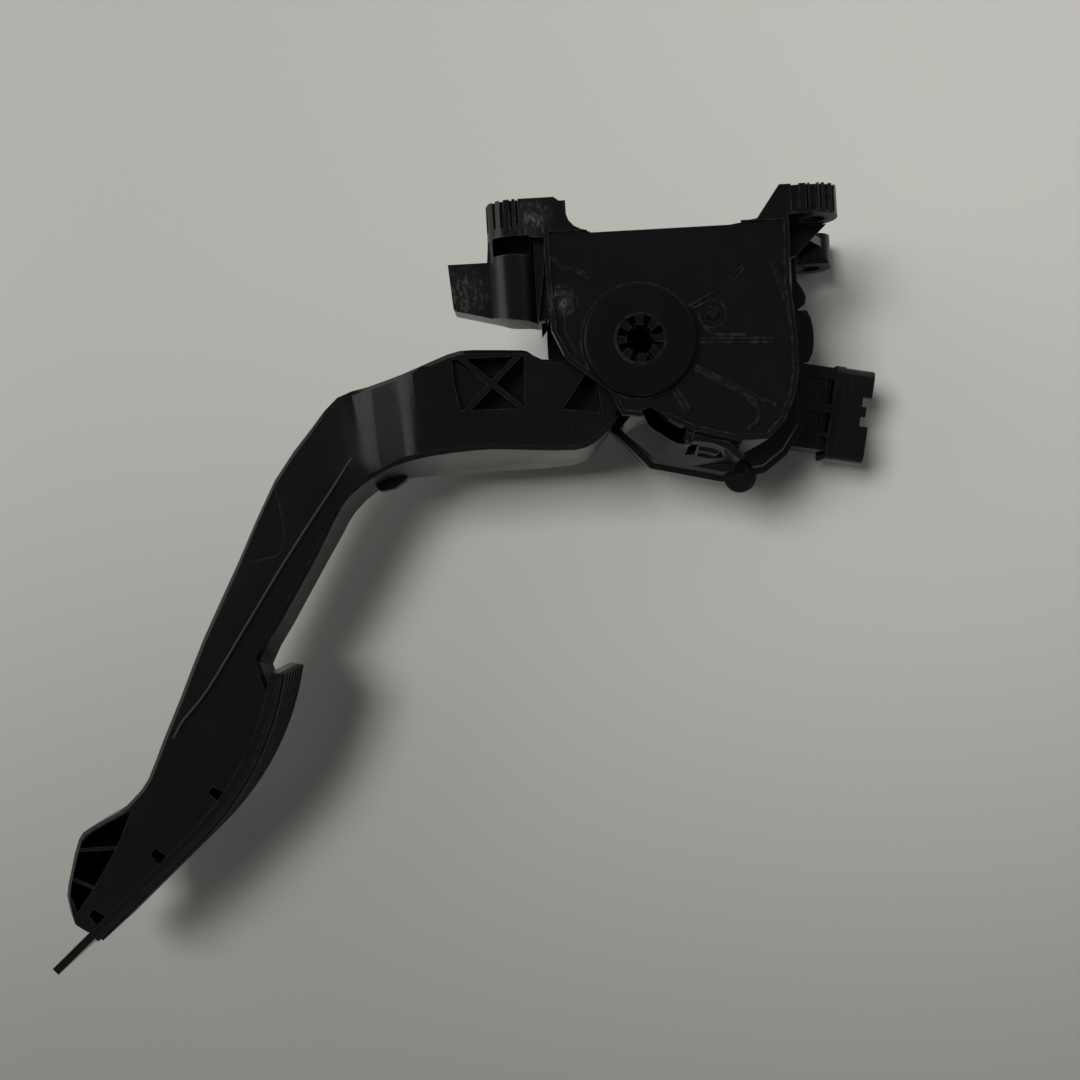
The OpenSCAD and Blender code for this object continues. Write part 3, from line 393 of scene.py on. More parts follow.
@dataclass(frozen=True)
class DullRubber:
    """Black rubber, dull, with fine pits, patchy dust and polished edges."""

    name: str
    colour: Triple = (0.0065, 0.0065, 0.0068)
    polished: Triple = (0.03, 0.03, 0.031)
    dusty: Triple = (0.07, 0.067, 0.061)
    roughness: float = 0.55
    dust: float = 0.16
    sheen: float = 0.2

    def material(self) -> bpy.types.Material:
        """Build the material.

        Returns:
            The node material.
        """
        b = Bench(self.name)
        pits = b.noise(1900.0, 3.0, 0.6)
        cloud = b.noise(60.0, 4.0, 0.6)
        edge = b.outer_edges(0.0006)
        dusty = b.math("MULTIPLY", b.spread(b.noise(260.0, 5.0, 0.7), 0.48, 0.7, 0.0, self.dust), cloud)
        tone = b.blend(cloud, shade(self.colour, 0.8), shade(self.colour, 1.3))
        tone = b.blend(b.math("MULTIPLY", edge, 0.35), tone, shade(self.polished))
        colour = b.blend(dusty, tone, shade(self.dusty))
        cloudy = b.spread(cloud, 0.3, 0.7, self.roughness - 0.04, self.roughness + 0.08)
        rough = b.math("SUBTRACT", cloudy, b.math("MULTIPLY", edge, 0.12))
        normal = b.relief((pits, 0.00002), (cloud, 0.00004))
        return b.principled(colour, rough, normal, Specular_IOR_Level=self.sheen)


@dataclass(frozen=True)
class PlainMetal:
    """Plated, drawn or pressed metal with tool lines, a slight tarnish and bright edges."""

    name: str
    colour: Triple
    roughness: float = 0.32
    tarnish: float = 0.4

    def material(self) -> bpy.types.Material:
        """Build the material.

        Returns:
            The node material.
        """
        b = Bench(self.name)
        tool = b.drawn_noise((3000.0, 160.0, 160.0), rough=0.5)
        cloud = b.noise(240.0, 4.0, 0.6)
        tarnished = b.spread(cloud, 0.45, 0.7, 0.0, self.tarnish)
        tone = b.blend(tarnished, shade(self.colour), shade(self.colour, 0.55))
        colour = b.blend(b.math("MULTIPLY", b.outer_edges(0.0002), 0.4), tone, shade(self.colour, 1.25))
        rough = b.spread(cloud, 0.3, 0.7, self.roughness - 0.06, self.roughness + 0.14)
        return b.principled(colour, rough, b.relief((tool, 0.000006), (cloud, 0.000008)), Metallic=1.0)


@dataclass(frozen=True)
class FiredOrPressed:
    """Laminate, ceramic, lining or natural plastic: one tone with speckle and a fine grain."""

    name: str
    colour: Triple
    roughness: float = 0.5
    speckle: float = 0.3

    def material(self) -> bpy.types.Material:
        """Build the material.

        Returns:
            The node material.
        """
        b = Bench(self.name)
        specks = b.noise(1500.0, 3.0, 0.6)
        cloud = b.noise(120.0, 3.0, 0.5)
        share = b.spread(specks, 0.45, 0.7, 0.0, self.speckle)
        tone = b.blend(cloud, shade(self.colour, 0.88), shade(self.colour, 1.12))
        tone = b.blend(share, tone, shade(self.colour, 0.6))
        colour = b.blend(b.math("MULTIPLY", b.outer_edges(0.0002), 0.3), tone, shade(self.colour, 1.5, 0.05))
        rough = b.spread(cloud, 0.3, 0.7, self.roughness - 0.05, self.roughness + 0.08)
        return b.principled(colour, rough, b.relief((specks, 0.00001), (cloud, 0.00001)))


@dataclass(frozen=True)
class PaleTable:
    """The pale plain surface that the pedal lies on. It shows from its front only.

    Painted shade darkens it towards its low end and towards its left, each between two places in metres.
    """

    name: str = "pale_table"
    colour: Triple = (0.66, 0.65, 0.61)
    low: tuple[float, float] = (-0.42, 0.02)
    low_painted_share: float = 0.80
    low_painted_shade: float = 0.3
    left: tuple[float, float] = (-0.24, 0.16)
    left_painted_share: float = 0.34
    left_painted_shade: float = 0.2

    def material(self) -> bpy.types.Material:
        """Build the material.

        Returns:
            The node material.
        """
        b = Bench(self.name)
        cloud = b.noise(2.2, 3.0, 0.5)
        tone = b.blend(cloud, shade(self.colour, 0.96), shade(self.colour, 1.04))
        split = b.node("ShaderNodeSeparateXYZ")
        b.feed(split.inputs[0], b.place)
        # Painted shade: darker towards the low end and towards the left, where the light falls off
        low = b.spread(split.outputs["Y"], *self.low, self.low_painted_share, 0.0)
        tone = b.blend(low, tone, shade(self.colour, self.low_painted_shade))
        left = b.spread(split.outputs["Z"], *self.left, self.left_painted_share, 0.0)
        tone = b.blend(left, tone, shade(self.colour, self.left_painted_shade))
        shader = b.node("ShaderNodeBsdfPrincipled")
        b.feed(shader.inputs["Base Color"], tone)
        b.feed(shader.inputs["Roughness"], b.spread(cloud, 0.3, 0.7, 0.5, 0.6))
        clear = b.node("ShaderNodeBsdfTransparent")
        side = b.node("ShaderNodeNewGeometry")
        mix = b.node("ShaderNodeMixShader")
        b.feed(mix.inputs[0], side.outputs["Backfacing"])
        b.tree.links.new(shader.outputs[0], mix.inputs[1])
        b.tree.links.new(clear.outputs[0], mix.inputs[2])
        b.tree.links.new(mix.outputs[0], b.output.inputs[0])
        return b.material


@dataclass
class Workshop:
    """Makes meshes, dresses them and hangs them on the bodies of the frame.

    Its sizes say how near points are one point, and from which angle, in degrees, two faces
    are kept apart, rounded or shaded with a sharp edge.
    """

    finishes: dict[str, bpy.types.Material] = field(default_factory=dict)
    count: int = 0
    one_point: float = 2e-6
    apart_from: float = 0.6
    rounded_from: float = 28.0
    sharp_from: float = 42.0

    def finish(self, slot: str) -> bpy.types.Material:
        """Give the material of a slot."""
        return self.finishes[slot]

    def hang(self, piece: bpy.types.Object, body: str, slot: str, *nodes: str) -> bpy.types.Object:
        """Dress a finished piece and let it ride on its body.

        Args:
            piece: The finished object, in place.
            body: Body that it rides on.
            slot: Material slot that it takes its finish from.
            nodes: Nodes that it stands for.

        Returns:
            The same object.
        """
        piece.data.materials.clear()
        piece.data.materials.append(self.finish(slot))
        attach(piece, body)
        if nodes:
            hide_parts(*nodes)
        self.count += 1
        log.info("piece %s on %s, %d faces", piece.name, body, len(piece.data.polygons))
        return piece

    def dress_node(self, node: str, slot: str, look: str = "") -> None:
        """Give a node of the frame that stays its material.

        Args:
            node: Name of the node.
            slot: Material slot.
            look: Finish of its own, where it differs from the slot's.
        """
        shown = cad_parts[node]
        finish = self.finish(look or slot)
        if not shown.material_slots:
            shown.data.materials.append(finish)
        for place in shown.material_slots:
            place.material = finish
        log.info("node %s dressed as %s", node, slot)

    def solid(self, name: str, mesh: bpy.types.Mesh) -> bpy.types.Object:
        """Put a mesh into the scene.

        Args:
            name: Name of the object.
            mesh: Its mesh, already in place.

        Returns:
            The object.
        """
        made = bpy.data.objects.new(name, mesh)
        bpy.context.scene.collection.objects.link(made)
        return made

    def plain(self, source: bpy.types.Object, name: str) -> bpy.types.Object:
        """Turn an object with modifiers into a plain mesh object at the origin.

        Args:
            source: Object with its modifiers, which is removed.
            name: Name of the plain object.

        Returns:
            The plain object.
        """
        bpy.context.view_layer.update()
        graph = bpy.context.evaluated_depsgraph_get()
        mesh = bpy.data.meshes.new_from_object(
            source.evaluated_get(graph), preserve_all_data_layers=True, depsgraph=graph,
        )
        mesh.name = name
        bpy.data.objects.remove(source)
        return self.solid(name, mesh)

    def rounded_copy(
        self, node: str, name: str, width: float, segments: int = 2, flatness: int = 50,
        soften: Callable[[bmesh.types.BMesh], None] | None = None,
    ) -> bpy.types.Object:
        """Copy a node, merge its loose triangles and round its edges as a mould does.

        Args:
            node: Node of the frame.
            name: Name of the new piece.
            width: Width of the rounding in metres.
            segments: Facets across a rounding.
            flatness: How much the large faces rule the shading beside their edges.
            soften: Change of the merged copy before its edges are rounded.

        Returns:
            The new piece, still without a material.
        """
        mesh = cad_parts[node].data.copy()
        mesh.name = name
        bm = bmesh.new()
        bm.from_mesh(mesh)
        bmesh.ops.remove_doubles(bm, verts=bm.verts, dist=self.one_point)
        bmesh.ops.dissolve_limit(
            bm, angle_limit=math.radians(self.apart_from), verts=bm.verts, edges=bm.edges,
        )
        if soften:
            soften(bm)
        for face in bm.faces:
            face.smooth = True
        bm.to_mesh(mesh)
        bm.free()
        if "custom_normal" in mesh.attributes:
            mesh.attributes.remove(mesh.attributes["custom_normal"])
        copy = self.solid(name + "_blank", mesh)
        rounding = copy.modifiers.new("rounding", "BEVEL")
        rounding.width = width
        rounding.segments = segments
        rounding.limit_method = "ANGLE"
        rounding.angle_limit = math.radians(self.rounded_from)
        rounding.use_clamp_overlap = True
        rounding.miter_outer = "MITER_ARC"
        made = self.plain(copy, name)
        made.data.set_sharp_from_angle(angle=math.radians(self.sharp_from))
        weights = made.modifiers.new("weights", "WEIGHTED_NORMAL")
        weights.keep_sharp = True
        weights.weight = flatness
        return self.plain(made, name)


class Tree:
    """A Geometry Nodes tree with named inputs, built node by node.

    What it makes is shaded with a sharp edge from the angle sharp_from, in degrees.
    """

    sharp_from: float = 35.0

    def __init__(self, name: str) -> None:
        """Start an empty tree.

        Args:
            name: Name of the tree.
        """
        self.tree = bpy.data.node_groups.new(name, "GeometryNodeTree")
        self.tree.interface.new_socket("Geometry", in_out="INPUT", socket_type="NodeSocketGeometry")
        self.tree.interface.new_socket("Geometry", in_out="OUTPUT", socket_type="NodeSocketGeometry")
        self.inputs = self.tree.nodes.new("NodeGroupInput")
        self.identifiers: dict[str, str] = {}

    def number(self, name: str, default: float, whole: bool = False) -> bpy.types.NodeSocket:
        """Add a named number input.

        Args:
            name: Name of the input.
            default: Its default value.
            whole: Whether it is a whole number.

        Returns:
            The socket that gives its value.
        """
        kind = "NodeSocketInt" if whole else "NodeSocketFloat"
        made = self.tree.interface.new_socket(name, in_out="INPUT", socket_type=kind)
        made.default_value = default
        self.identifiers[name] = made.identifier
        return self.inputs.outputs[name]

    def thing(self, name: str, kind: str) -> bpy.types.NodeSocket:
        """Add a named input for a material or a vector.

        Args:
            name: Name of the input.
            kind: Socket type.

        Returns:
            The socket that gives its value.
        """
        made = self.tree.interface.new_socket(name, in_out="INPUT", socket_type=kind)
        self.identifiers[name] = made.identifier
        return self.inputs.outputs[name]

    def node(self, kind: str, links: dict[str, object] | None = None, **settings: object) -> bpy.types.Node:
        """Add a node, set its properties and feed its inputs.

        Args:
            kind: Blender's name of the node type.
            links: Value or socket by input name.
            settings: Properties of the node.

        Returns:
            The new node.
        """
        made = self.tree.nodes.new(kind)
        for key, value in settings.items():
            setattr(made, key, value)
        for key, value in (links or {}).items():
            if isinstance(value, bpy.types.NodeSocket):
                self.tree.links.new(value, made.inputs[key])
            else:
                made.inputs[key].default_value = value
        return made

    def times(self, value: bpy.types.NodeSocket, factor: float) -> bpy.types.NodeSocket:
        """Multiply a number of the tree by a fixed factor."""
        return self.node("ShaderNodeMath", {0: value, 1: factor}, operation="MULTIPLY").outputs[0]

    def vector(self, **axes: object) -> bpy.types.NodeSocket:
        """Join X, Y and Z into a vector. An axis that is left out is 0."""
        return self.node("ShaderNodeCombineXYZ", axes).outputs[0]

    def moved(self, geometry: bpy.types.NodeSocket, **how: object) -> bpy.types.NodeSocket:
        """Move a geometry by a Scale, a Rotation and a Translation."""
        return self.node("GeometryNodeTransform", {"Geometry": geometry, **how}).outputs[0]

    def joined(self, *parts: bpy.types.NodeSocket) -> bpy.types.NodeSocket:
        """Join geometries.

        Args:
            parts: The geometries, in order.

        Returns:
            The whole's socket.
        """
        whole = self.node("GeometryNodeJoinGeometry")
        for part in parts:
            self.tree.links.new(part, whole.inputs[0])
        return whole.outputs[0]

    def swept(self, line: bpy.types.NodeSocket, profile: bpy.types.NodeSocket) -> bpy.types.NodeSocket:
        """Sweep a closed profile along a line and cap both ends."""
        links = {"Curve": line, "Profile Curve": profile, "Fill Caps": True}
        return self.node("GeometryNodeCurveToMesh", links).outputs[0]

    def helix(self, radius: object, turns: object, height: object, steps: int) -> bpy.types.NodeSocket:
        """Wind a line round the Z axis, with a number of points on each turn."""
        return self.node("GeometryNodeCurveSpiral", {
            "Resolution": steps,
            "Rotations": turns,
            "Start Radius": radius,
            "End Radius": radius,
            "Height": height,
        }).outputs[0]

    def ring(self, radius: object, steps: int) -> bpy.types.NodeSocket:
        """Draw a circle with a number of points."""
        links = {"Resolution": steps, "Radius": radius}
        return self.node("GeometryNodeCurvePrimitiveCircle", links).outputs[0]

    def rod(self, radius: object, length: object, sides: int) -> bpy.types.NodeSocket:
        """Make a many-sided rod along Z, with its middle at the origin."""
        links = {"Vertices": sides, "Radius": radius, "Depth": length}
        return self.node("GeometryNodeMeshCylinder", links).outputs[0]

    def taper(self, foot: object, top: object, height: object, sides: int) -> bpy.types.NodeSocket:
        """Make a many-sided cone with a flat top, standing on the origin."""
        links = {"Vertices": sides, "Radius Bottom": foot, "Radius Top": top, "Depth": height}
        return self.node("GeometryNodeMeshCone", links).outputs[0]

    def set_on(self, points: bpy.types.NodeSocket, piece: bpy.types.NodeSocket) -> bpy.types.NodeSocket:
        """Set a copy of a piece on each point."""
        return self.node("GeometryNodeInstanceOnPoints", {"Points": points, "Instance": piece}).outputs[0]

    def close(self, geometry: bpy.types.NodeSocket, material: bpy.types.NodeSocket) -> None:
        """End the tree in real geometry with its material.

        Args:
            geometry: Geometry to hand out.
            material: Socket of the material.
        """
        real = self.node("GeometryNodeRealizeInstances", {"Geometry": geometry})
        dressed = self.node("GeometryNodeSetMaterial", {"Geometry": real.outputs[0], "Material": material})
        out = self.tree.nodes.new("NodeGroupOutput")
        self.tree.links.new(dressed.outputs[0], out.inputs[0])

    def grow(
        self, shop: Workshop, name: str, values: dict[str, object], start: bpy.types.Mesh | None = None,
    ) -> bpy.types.Object:
        """Run the tree on a carrier and keep the plain mesh.

        Args:
            shop: Workshop that keeps the piece.
            name: Name of the piece.
            values: Value by input name.
            start: Mesh that the tree starts from, or none.

        Returns:
            The plain object.
        """
        carrier = shop.solid(name + "_carrier", start or bpy.data.meshes.new(name + "_carrier"))
        modifier = carrier.modifiers.new("grow", "NODES")
        modifier.node_group = self.tree
        for key, value in values.items():
            modifier[self.identifiers[key]] = value
        made = shop.plain(carrier, name)
        made.data.shade_smooth()
        made.data.set_sharp_from_angle(angle=math.radians(self.sharp_from))
        return made


@dataclass
class HousingSide:
    """The bolted housing with its sleeves, axle, lever and stop pad."""

    shop: Workshop
    edge: float = 0.00045
    axle_edge: float = 0.0003
    lever_edge: float = 0.0004
    slots: dict[str, str] = field(default_factory=lambda: {
        "foot_sleeves": "plated_steel",
        "lever_pin": "plated_steel",
        "friction_lining": "lining_composite",
        "idle_stop_pad": "stop_rubber",
    })
    looks: dict[str, str] = field(default_factory=lambda: {
        "foot_sleeves": "sleeve_steel",
        "lever_pin": "pin_steel",
    })

    def build(self) -> None:
        """Build the rounded mouldings of the fixed side."""
        for node, name, slot, edge in (
            ("housing", "housing_moulding", "housing_plastic", self.edge),
            ("pivot_axle", "axle_head", "axle_plastic", self.axle_edge),
            ("hysteresis_lever", "friction_lever", "lever_plastic", self.lever_edge),
        ):
            self.shop.hang(self.shop.rounded_copy(node, name, edge), "bracket", slot, node)

    def dress(self) -> None:
        """Dress the nodes of the fixed side that stay as they are."""
        for node, slot in self.slots.items():
            self.shop.dress_node(node, slot, self.looks.get(node, ""))


@dataclass
class SwingingSide:
    """The pedal arm with its bushes, magnets and cup.

    The stem's near face is eased towards stem_level from bend_below under the pivot, over
    ease_over, where it lies less than relief_reach in front of it. What stays of its relief is
    the share stem_relief. A fold is an edge inside fold_reach that bends by more than fold_from
    degrees, between faces that look to the near side by more than fold_facing, and runs across
    by more than fold_slant to one. The ridge's points are measured from the pivot.
    """

    shop: Workshop
    edge: float = 0.0007
    edge_facets: int = 3
    flatness: int = 12
    pad_edge: float = 0.00025
    stem_level: float = 0.0114
    stem_relief: float = 0.25
    relief_reach: float = 0.0035
    bend_below: float = 0.085
    ease_over: float = 0.010
    fold_reach: tuple[float, float] = (-0.096, -0.072)
    fold_width: float = 0.0028
    fold_facets: int = 5
    fold_from: float = 10.0
    fold_facing: float = 0.6
    fold_slant: float = 3.0
    ridge: tuple[Triple, ...] = (
        (0.0118, -0.0262, -0.0890),
        (0.0108, -0.0312, -0.0927),
        (0.0107, -0.0385, -0.0979),
        (0.0107, -0.0468, -0.1041),
        (0.0108, -0.0630, -0.1158),
        (0.0109, -0.0804, -0.1276),
        (0.0110, -0.0996, -0.1407),
        (0.0112, -0.1090, -0.1490),
        (0.0124, -0.1144, -0.1526),
    )
    slots: dict[str, str] = field(default_factory=lambda: {
        "hub_bushes": "bush_plastic",
        "spring_cup": "cup_plastic",
        "sensor_magnets": "magnet_ferrite",
        "magnet_ring": "plated_steel",
    })

    def settle(self, point: Vector) -> Vector:
        """Ease the slight relief of the stem's near face below the bend.

        Args:
            point: A point of the arm.

        Returns:
            The point in its eased place.
        """
        depth = self.stem_level - point.x
        below = (PIVOT.z - self.bend_below - point.z) / self.ease_over
        if not 0.0 < depth < self.relief_reach or below <= 0.0:
            return point
        share = 1.0 + (self.stem_relief - 1.0) * min(1.0, below)
        return Vector((self.stem_level - depth * share, point.y, point.z))

    def round_folds(self, bm: bmesh.types.BMesh) -> None:
        """Round the folds across the near face where the stem bends into the neck."""
        folds = [edge for edge in bm.edges if self.is_fold(edge)]
        bmesh.ops.bevel(
            bm, geom=folds, offset=self.fold_width, segments=self.fold_facets, profile=0.5,
            affect="EDGES", clamp_overlap=True,
        )

    def is_fold(self, edge: bmesh.types.BMEdge) -> bool:
        """Say whether an edge is one of the folds across the near face.

        Args:
            edge: Edge of the arm's mesh.

        Returns:
            True for a fold.
        """
        start, end = (v.co for v in edge.verts)
        low, high = self.fold_reach
        sides = edge.link_faces
        near = len(sides) == 2 and all(f.normal.x < -self.fold_facing for f in sides)
        inside = low < min(start.z, end.z) and max(start.z, end.z) < high
        across = abs(start.y - end.y) > self.fold_slant * abs(start.z - end.z)
        bent = edge.calc_face_angle(0.0) > math.radians(self.fold_from)
        return near and inside and across and bent

    def shape_stem(self, bm: bmesh.types.BMesh) -> None:
        """Round the folds and ease the stem's near face.

        Args:
            bm: The arm's mesh.
        """
        self.round_folds(bm)
        for point in bm.verts:
            point.co = self.settle(point.co)

    def ridge_tree(self) -> Tree:
        """Make the tree that lays a thin rounded ridge along a line.

        Returns:
            The tree.
        """
        t = Tree("stem_ridge")
        width = t.number("Half Width", 0.0014)
        height = t.number("Height Share", 0.36)
        steps = t.number("Steps", 120, whole=True)
        finish = t.thing("Finish", "NodeSocketMaterial")
        line = t.node("GeometryNodeMeshToCurve", {"Mesh": t.inputs.outputs[0]})
        bent = t.node("GeometryNodeCurveSplineType", {"Curve": line.outputs[0]}, spline_type="CATMULL_ROM")
        fine = t.node("GeometryNodeResampleCurve", {"Curve": bent.outputs[0], "Count": steps})
        oval = t.moved(t.ring(width, 14), Scale=t.vector(X=1.0, Y=height, Z=1.0))
        t.close(t.swept(fine.outputs[0], oval), finish)
        return t

    def lay_ridge(self) -> None:
        """Lay the ridge along the stem, with a lighter finish of its own that is a painted highlight."""
        line = bpy.data.meshes.new("ridge_line")
        points = [PIVOT + Vector(p) for p in self.ridge]
        line.from_pydata(points, [(k, k + 1) for k in range(len(points) - 1)], [])
        finish = self.shop.finish("ridge_painted_highlight")
        ridge = self.ridge_tree().grow(self.shop, "stem_ridge", {"Finish": finish}, line)
        self.shop.hang(ridge, "pedal", "arm_plastic").data.materials[0] = finish

    def build(self) -> None:
        """Build the arm's rounded moulding with the ridge along its stem, and the rubber face."""
        arm = self.shop.rounded_copy(
            "pedal_arm", "arm_moulding", self.edge, self.edge_facets, self.flatness, self.shape_stem,
        )
        self.shop.hang(arm, "pedal", "arm_plastic", "pedal_arm")
        self.lay_ridge()
        rubber = self.shop.rounded_copy("rubber_pad_cover", "pad_rubber_face", self.pad_edge)
        self.shop.hang(rubber, "pedal", "pad_rubber", "rubber_pad_cover")

    def dress(self) -> None:
        """Dress the nodes of the swinging side that stay as they are."""
        for node, slot in self.slots.items():
            self.shop.dress_node(node, slot)


@dataclass
class ReturnSprings:
    """The two nested coil springs, which shorten as the pedal goes down.

    Each is given by its coil's radius, its wire's diameter and its number of turns.
    """

    shop: Workshop
    outer: Triple = (0.0057, 0.0013, 6.0)
    inner: Triple = (0.0033, 0.0009, 8.0)
    keep: float = 0.8

    def coil_tree(self) -> Tree:
        """Make the tree that winds one spring.

        Returns:
            The tree.
        """
        t = Tree("coil_spring")
        radius = t.number("Coil Radius", 0.005)
        wire = t.number("Wire Radius", 0.0005)
        turns = t.number("Turns", 6.0)
        height = t.number("Height", 0.02)
        seat = t.thing("Seat", "NodeSocketVector")
        finish = t.thing("Finish", "NodeSocketMaterial")
        tube = t.swept(t.helix(radius, turns, height, 24), t.ring(wire, 12))
        t.close(t.moved(tube, Translation=seat), finish)
        return t

    def build(self) -> None:
        """Wind both springs and hang them on the bracket."""
        tree = self.coil_tree()
        for name, node, (coil, wire, turns) in (
            ("outer_coil", "outer_return_spring", self.outer),
            ("inner_coil", "inner_return_spring", self.inner),
        ):
            spring = tree.grow(self.shop, name, {
                "Coil Radius": coil,
                "Wire Radius": wire / 2,
                "Turns": turns,
                "Height": SPRING_TOP_Z - SPRING_SEAT.z - wire,
                "Seat": SPRING_SEAT + Vector((0, 0, wire / 2)),
                "Finish": self.shop.finish("spring_steel"),
            })
            self.shop.hang(spring, "bracket", "spring_steel", node)
            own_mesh(spring)


@dataclass
class SensorSide:
    """The far cover with its connector, screws, gasket, board and terminals.

    A screw's cap and hexagon are shares of its head's radius, the hexagon's lift is a share of
    the head's height, and the thread's is a share of the shank's length.
    """

    shop: Workshop
    edge: float = 0.0004
    washer_high: float = 0.0006
    cap_foot: float = 0.84
    cap_top: float = 0.74
    hexagon: float = 0.47
    hexagon_lift: float = 0.45
    thread_share: float = 0.6
    thread_wire: float = 0.0002
    blade_thick: float = 0.0006
    blade_wide: float = 0.0016
    tip_foot: float = 0.00113
    tip_high: float = 0.001
    row_start: Triple = (0.0, -0.006, -0.004)
    slots: dict[str, str] = field(default_factory=lambda: {
        "cover_gasket": "stop_rubber",
        "circuit_board": "board_laminate",
        "sensor_chips": "chip_plastic",
        "board_capacitors": "capacitor_ceramic",
        "board_screws": "plated_steel",
    })

    def screw_tree(self) -> Tree:
        """Make the tree that sets one screw on each point: washer, head, hexagon, shank and thread.

        Returns:
            The tree.
        """
        t = Tree("cover_screw")
        head = t.number("Head Radius", 0.0032)
        tall = t.number("Head Height", 0.002)
        shank = t.number("Shank Radius", 0.0014)
        length = t.number("Shank Length", 0.022)
        turns = t.number("Thread Turns", 13.0)
        finish = t.thing("Finish", "NodeSocketMaterial")
        washer = t.moved(t.rod(head, self.washer_high, 40), Translation=t.vector(Z=self.washer_high / 2))
        cap = t.taper(t.times(head, self.cap_foot), t.times(head, self.cap_top), tall, 40)
        key = t.moved(
            t.rod(t.times(head, self.hexagon), tall, 6),
            Translation=t.vector(Z=t.times(tall, self.hexagon_lift)),
        )
        cut = t.node("GeometryNodeMeshBoolean", {"Mesh 1": cap}, operation="DIFFERENCE")
        t.tree.links.new(key, cut.inputs["Mesh 2"])
        rod = t.moved(t.rod(shank, length, 24), Translation=t.vector(Z=t.times(length, -0.5)))
        winding = t.helix(shank, turns, t.times(length, self.thread_share), 20)
        thread = t.moved(
            t.swept(winding, t.ring(self.thread_wire, 6)),
            Translation=t.vector(Z=t.times(length, -1.0)),
        )
        whole = t.joined(washer, cut.outputs[0], rod, thread)
        sideways = t.moved(whole, Rotation=(0.0, math.pi / 2, 0.0))
        t.close(t.set_on(t.inputs.outputs[0], sideways), finish)
        return t

    def terminal_tree(self) -> Tree:
        """Make the tree that sets a row of blade terminals with tapered tips.

        Returns:
            The tree.
        """
        t = Tree("terminal_row")
        count = t.number("Count", 6, whole=True)
        pitch = t.number("Pitch", 0.004)
        long = t.number("Length", 0.040)
        finish = t.thing("Finish", "NodeSocketMaterial")
        row = t.node("GeometryNodeMeshLine", {"Count": count, "Offset": t.vector(Y=t.times(pitch, -1.0))})
        size = t.vector(X=self.blade_thick, Y=self.blade_wide, Z=long)
        blade = t.node("GeometryNodeMeshCube", {"Size": size})
        tip = t.taper(self.tip_foot, self.blade_thick, self.tip_high, 4)
        square = t.moved(tip, Rotation=(0.0, 0.0, math.pi / 4))
        placed = t.moved(
            square, Scale=(self.blade_thick / self.blade_wide, 1.0, 1.0),
            Translation=t.vector(Z=t.times(long, 0.5)),
        )
        t.close(t.set_on(row.outputs[0], t.joined(blade.outputs[0], placed)), finish)
        return t

    def build(self) -> None:
        """Build the cover's moulding, its screws and the row of terminals."""
        cover = self.shop.rounded_copy("sensor_cover", "cover_moulding", self.edge)
        self.shop.hang(cover, "bracket", "cover_plastic", "sensor_cover")
        points = bpy.data.meshes.new("screw_points")
        points.from_pydata([(COVER_END_X, PIVOT.y + y, PIVOT.z + z) for y, z in SCREW_POINTS], [], [])
        screws = self.screw_tree().grow(self.shop, "cover_screw_set", {
            "Shank Length": COVER_END_X - SCREW_START_X, "Finish": self.shop.finish("plated_steel"),
        }, points)
        self.shop.hang(screws, "bracket", "plated_steel", "cover_screws")
        finish = self.shop.finish("terminal_brass")
        row = self.terminal_tree().grow(self.shop, "terminal_row", {"Finish": finish})
        shroud = Matrix.Translation(SHROUD_AT) @ Matrix.Rotation(SHROUD_TILT, 4, "X")
        row.data.transform(shroud @ Matrix.Translation(self.row_start))
        self.shop.hang(row, "bracket", "terminal_brass", "connector_terminals")

    def dress(self) -> None:
        """Dress the nodes of the sensor side that stay as they are."""
        for node, slot in self.slots.items():
            self.shop.dress_node(node, slot)


@dataclass(frozen=True)
class Lamp:
    """One soft square lamp: its place and side in metres, its watts and tint.

    Shiny faces mirror it, unless gloss is off.
    """

    name: str
    place: Triple
    side: float
    watts: float
    tint: Triple = (0.97, 0.98, 1.0)
    gloss: bool = True

    def hang(self, target: Vector) -> None:
        """Hang the lamp so that it looks at a point.

        Args:
            target: The point.
        """
        data = bpy.data.lights.new(self.name, "AREA")
        data.shape = "SQUARE"
        data.size = self.side
        data.energy = self.watts
        data.color = self.tint
        made = bpy.data.objects.new(self.name, data)
        bpy.context.scene.collection.objects.link(made)
        made.visible_glossy = self.gloss
        made.location = self.place
        made.rotation_euler = (target - Vector(self.place)).to_track_quat("-Z", "Y").to_euler()


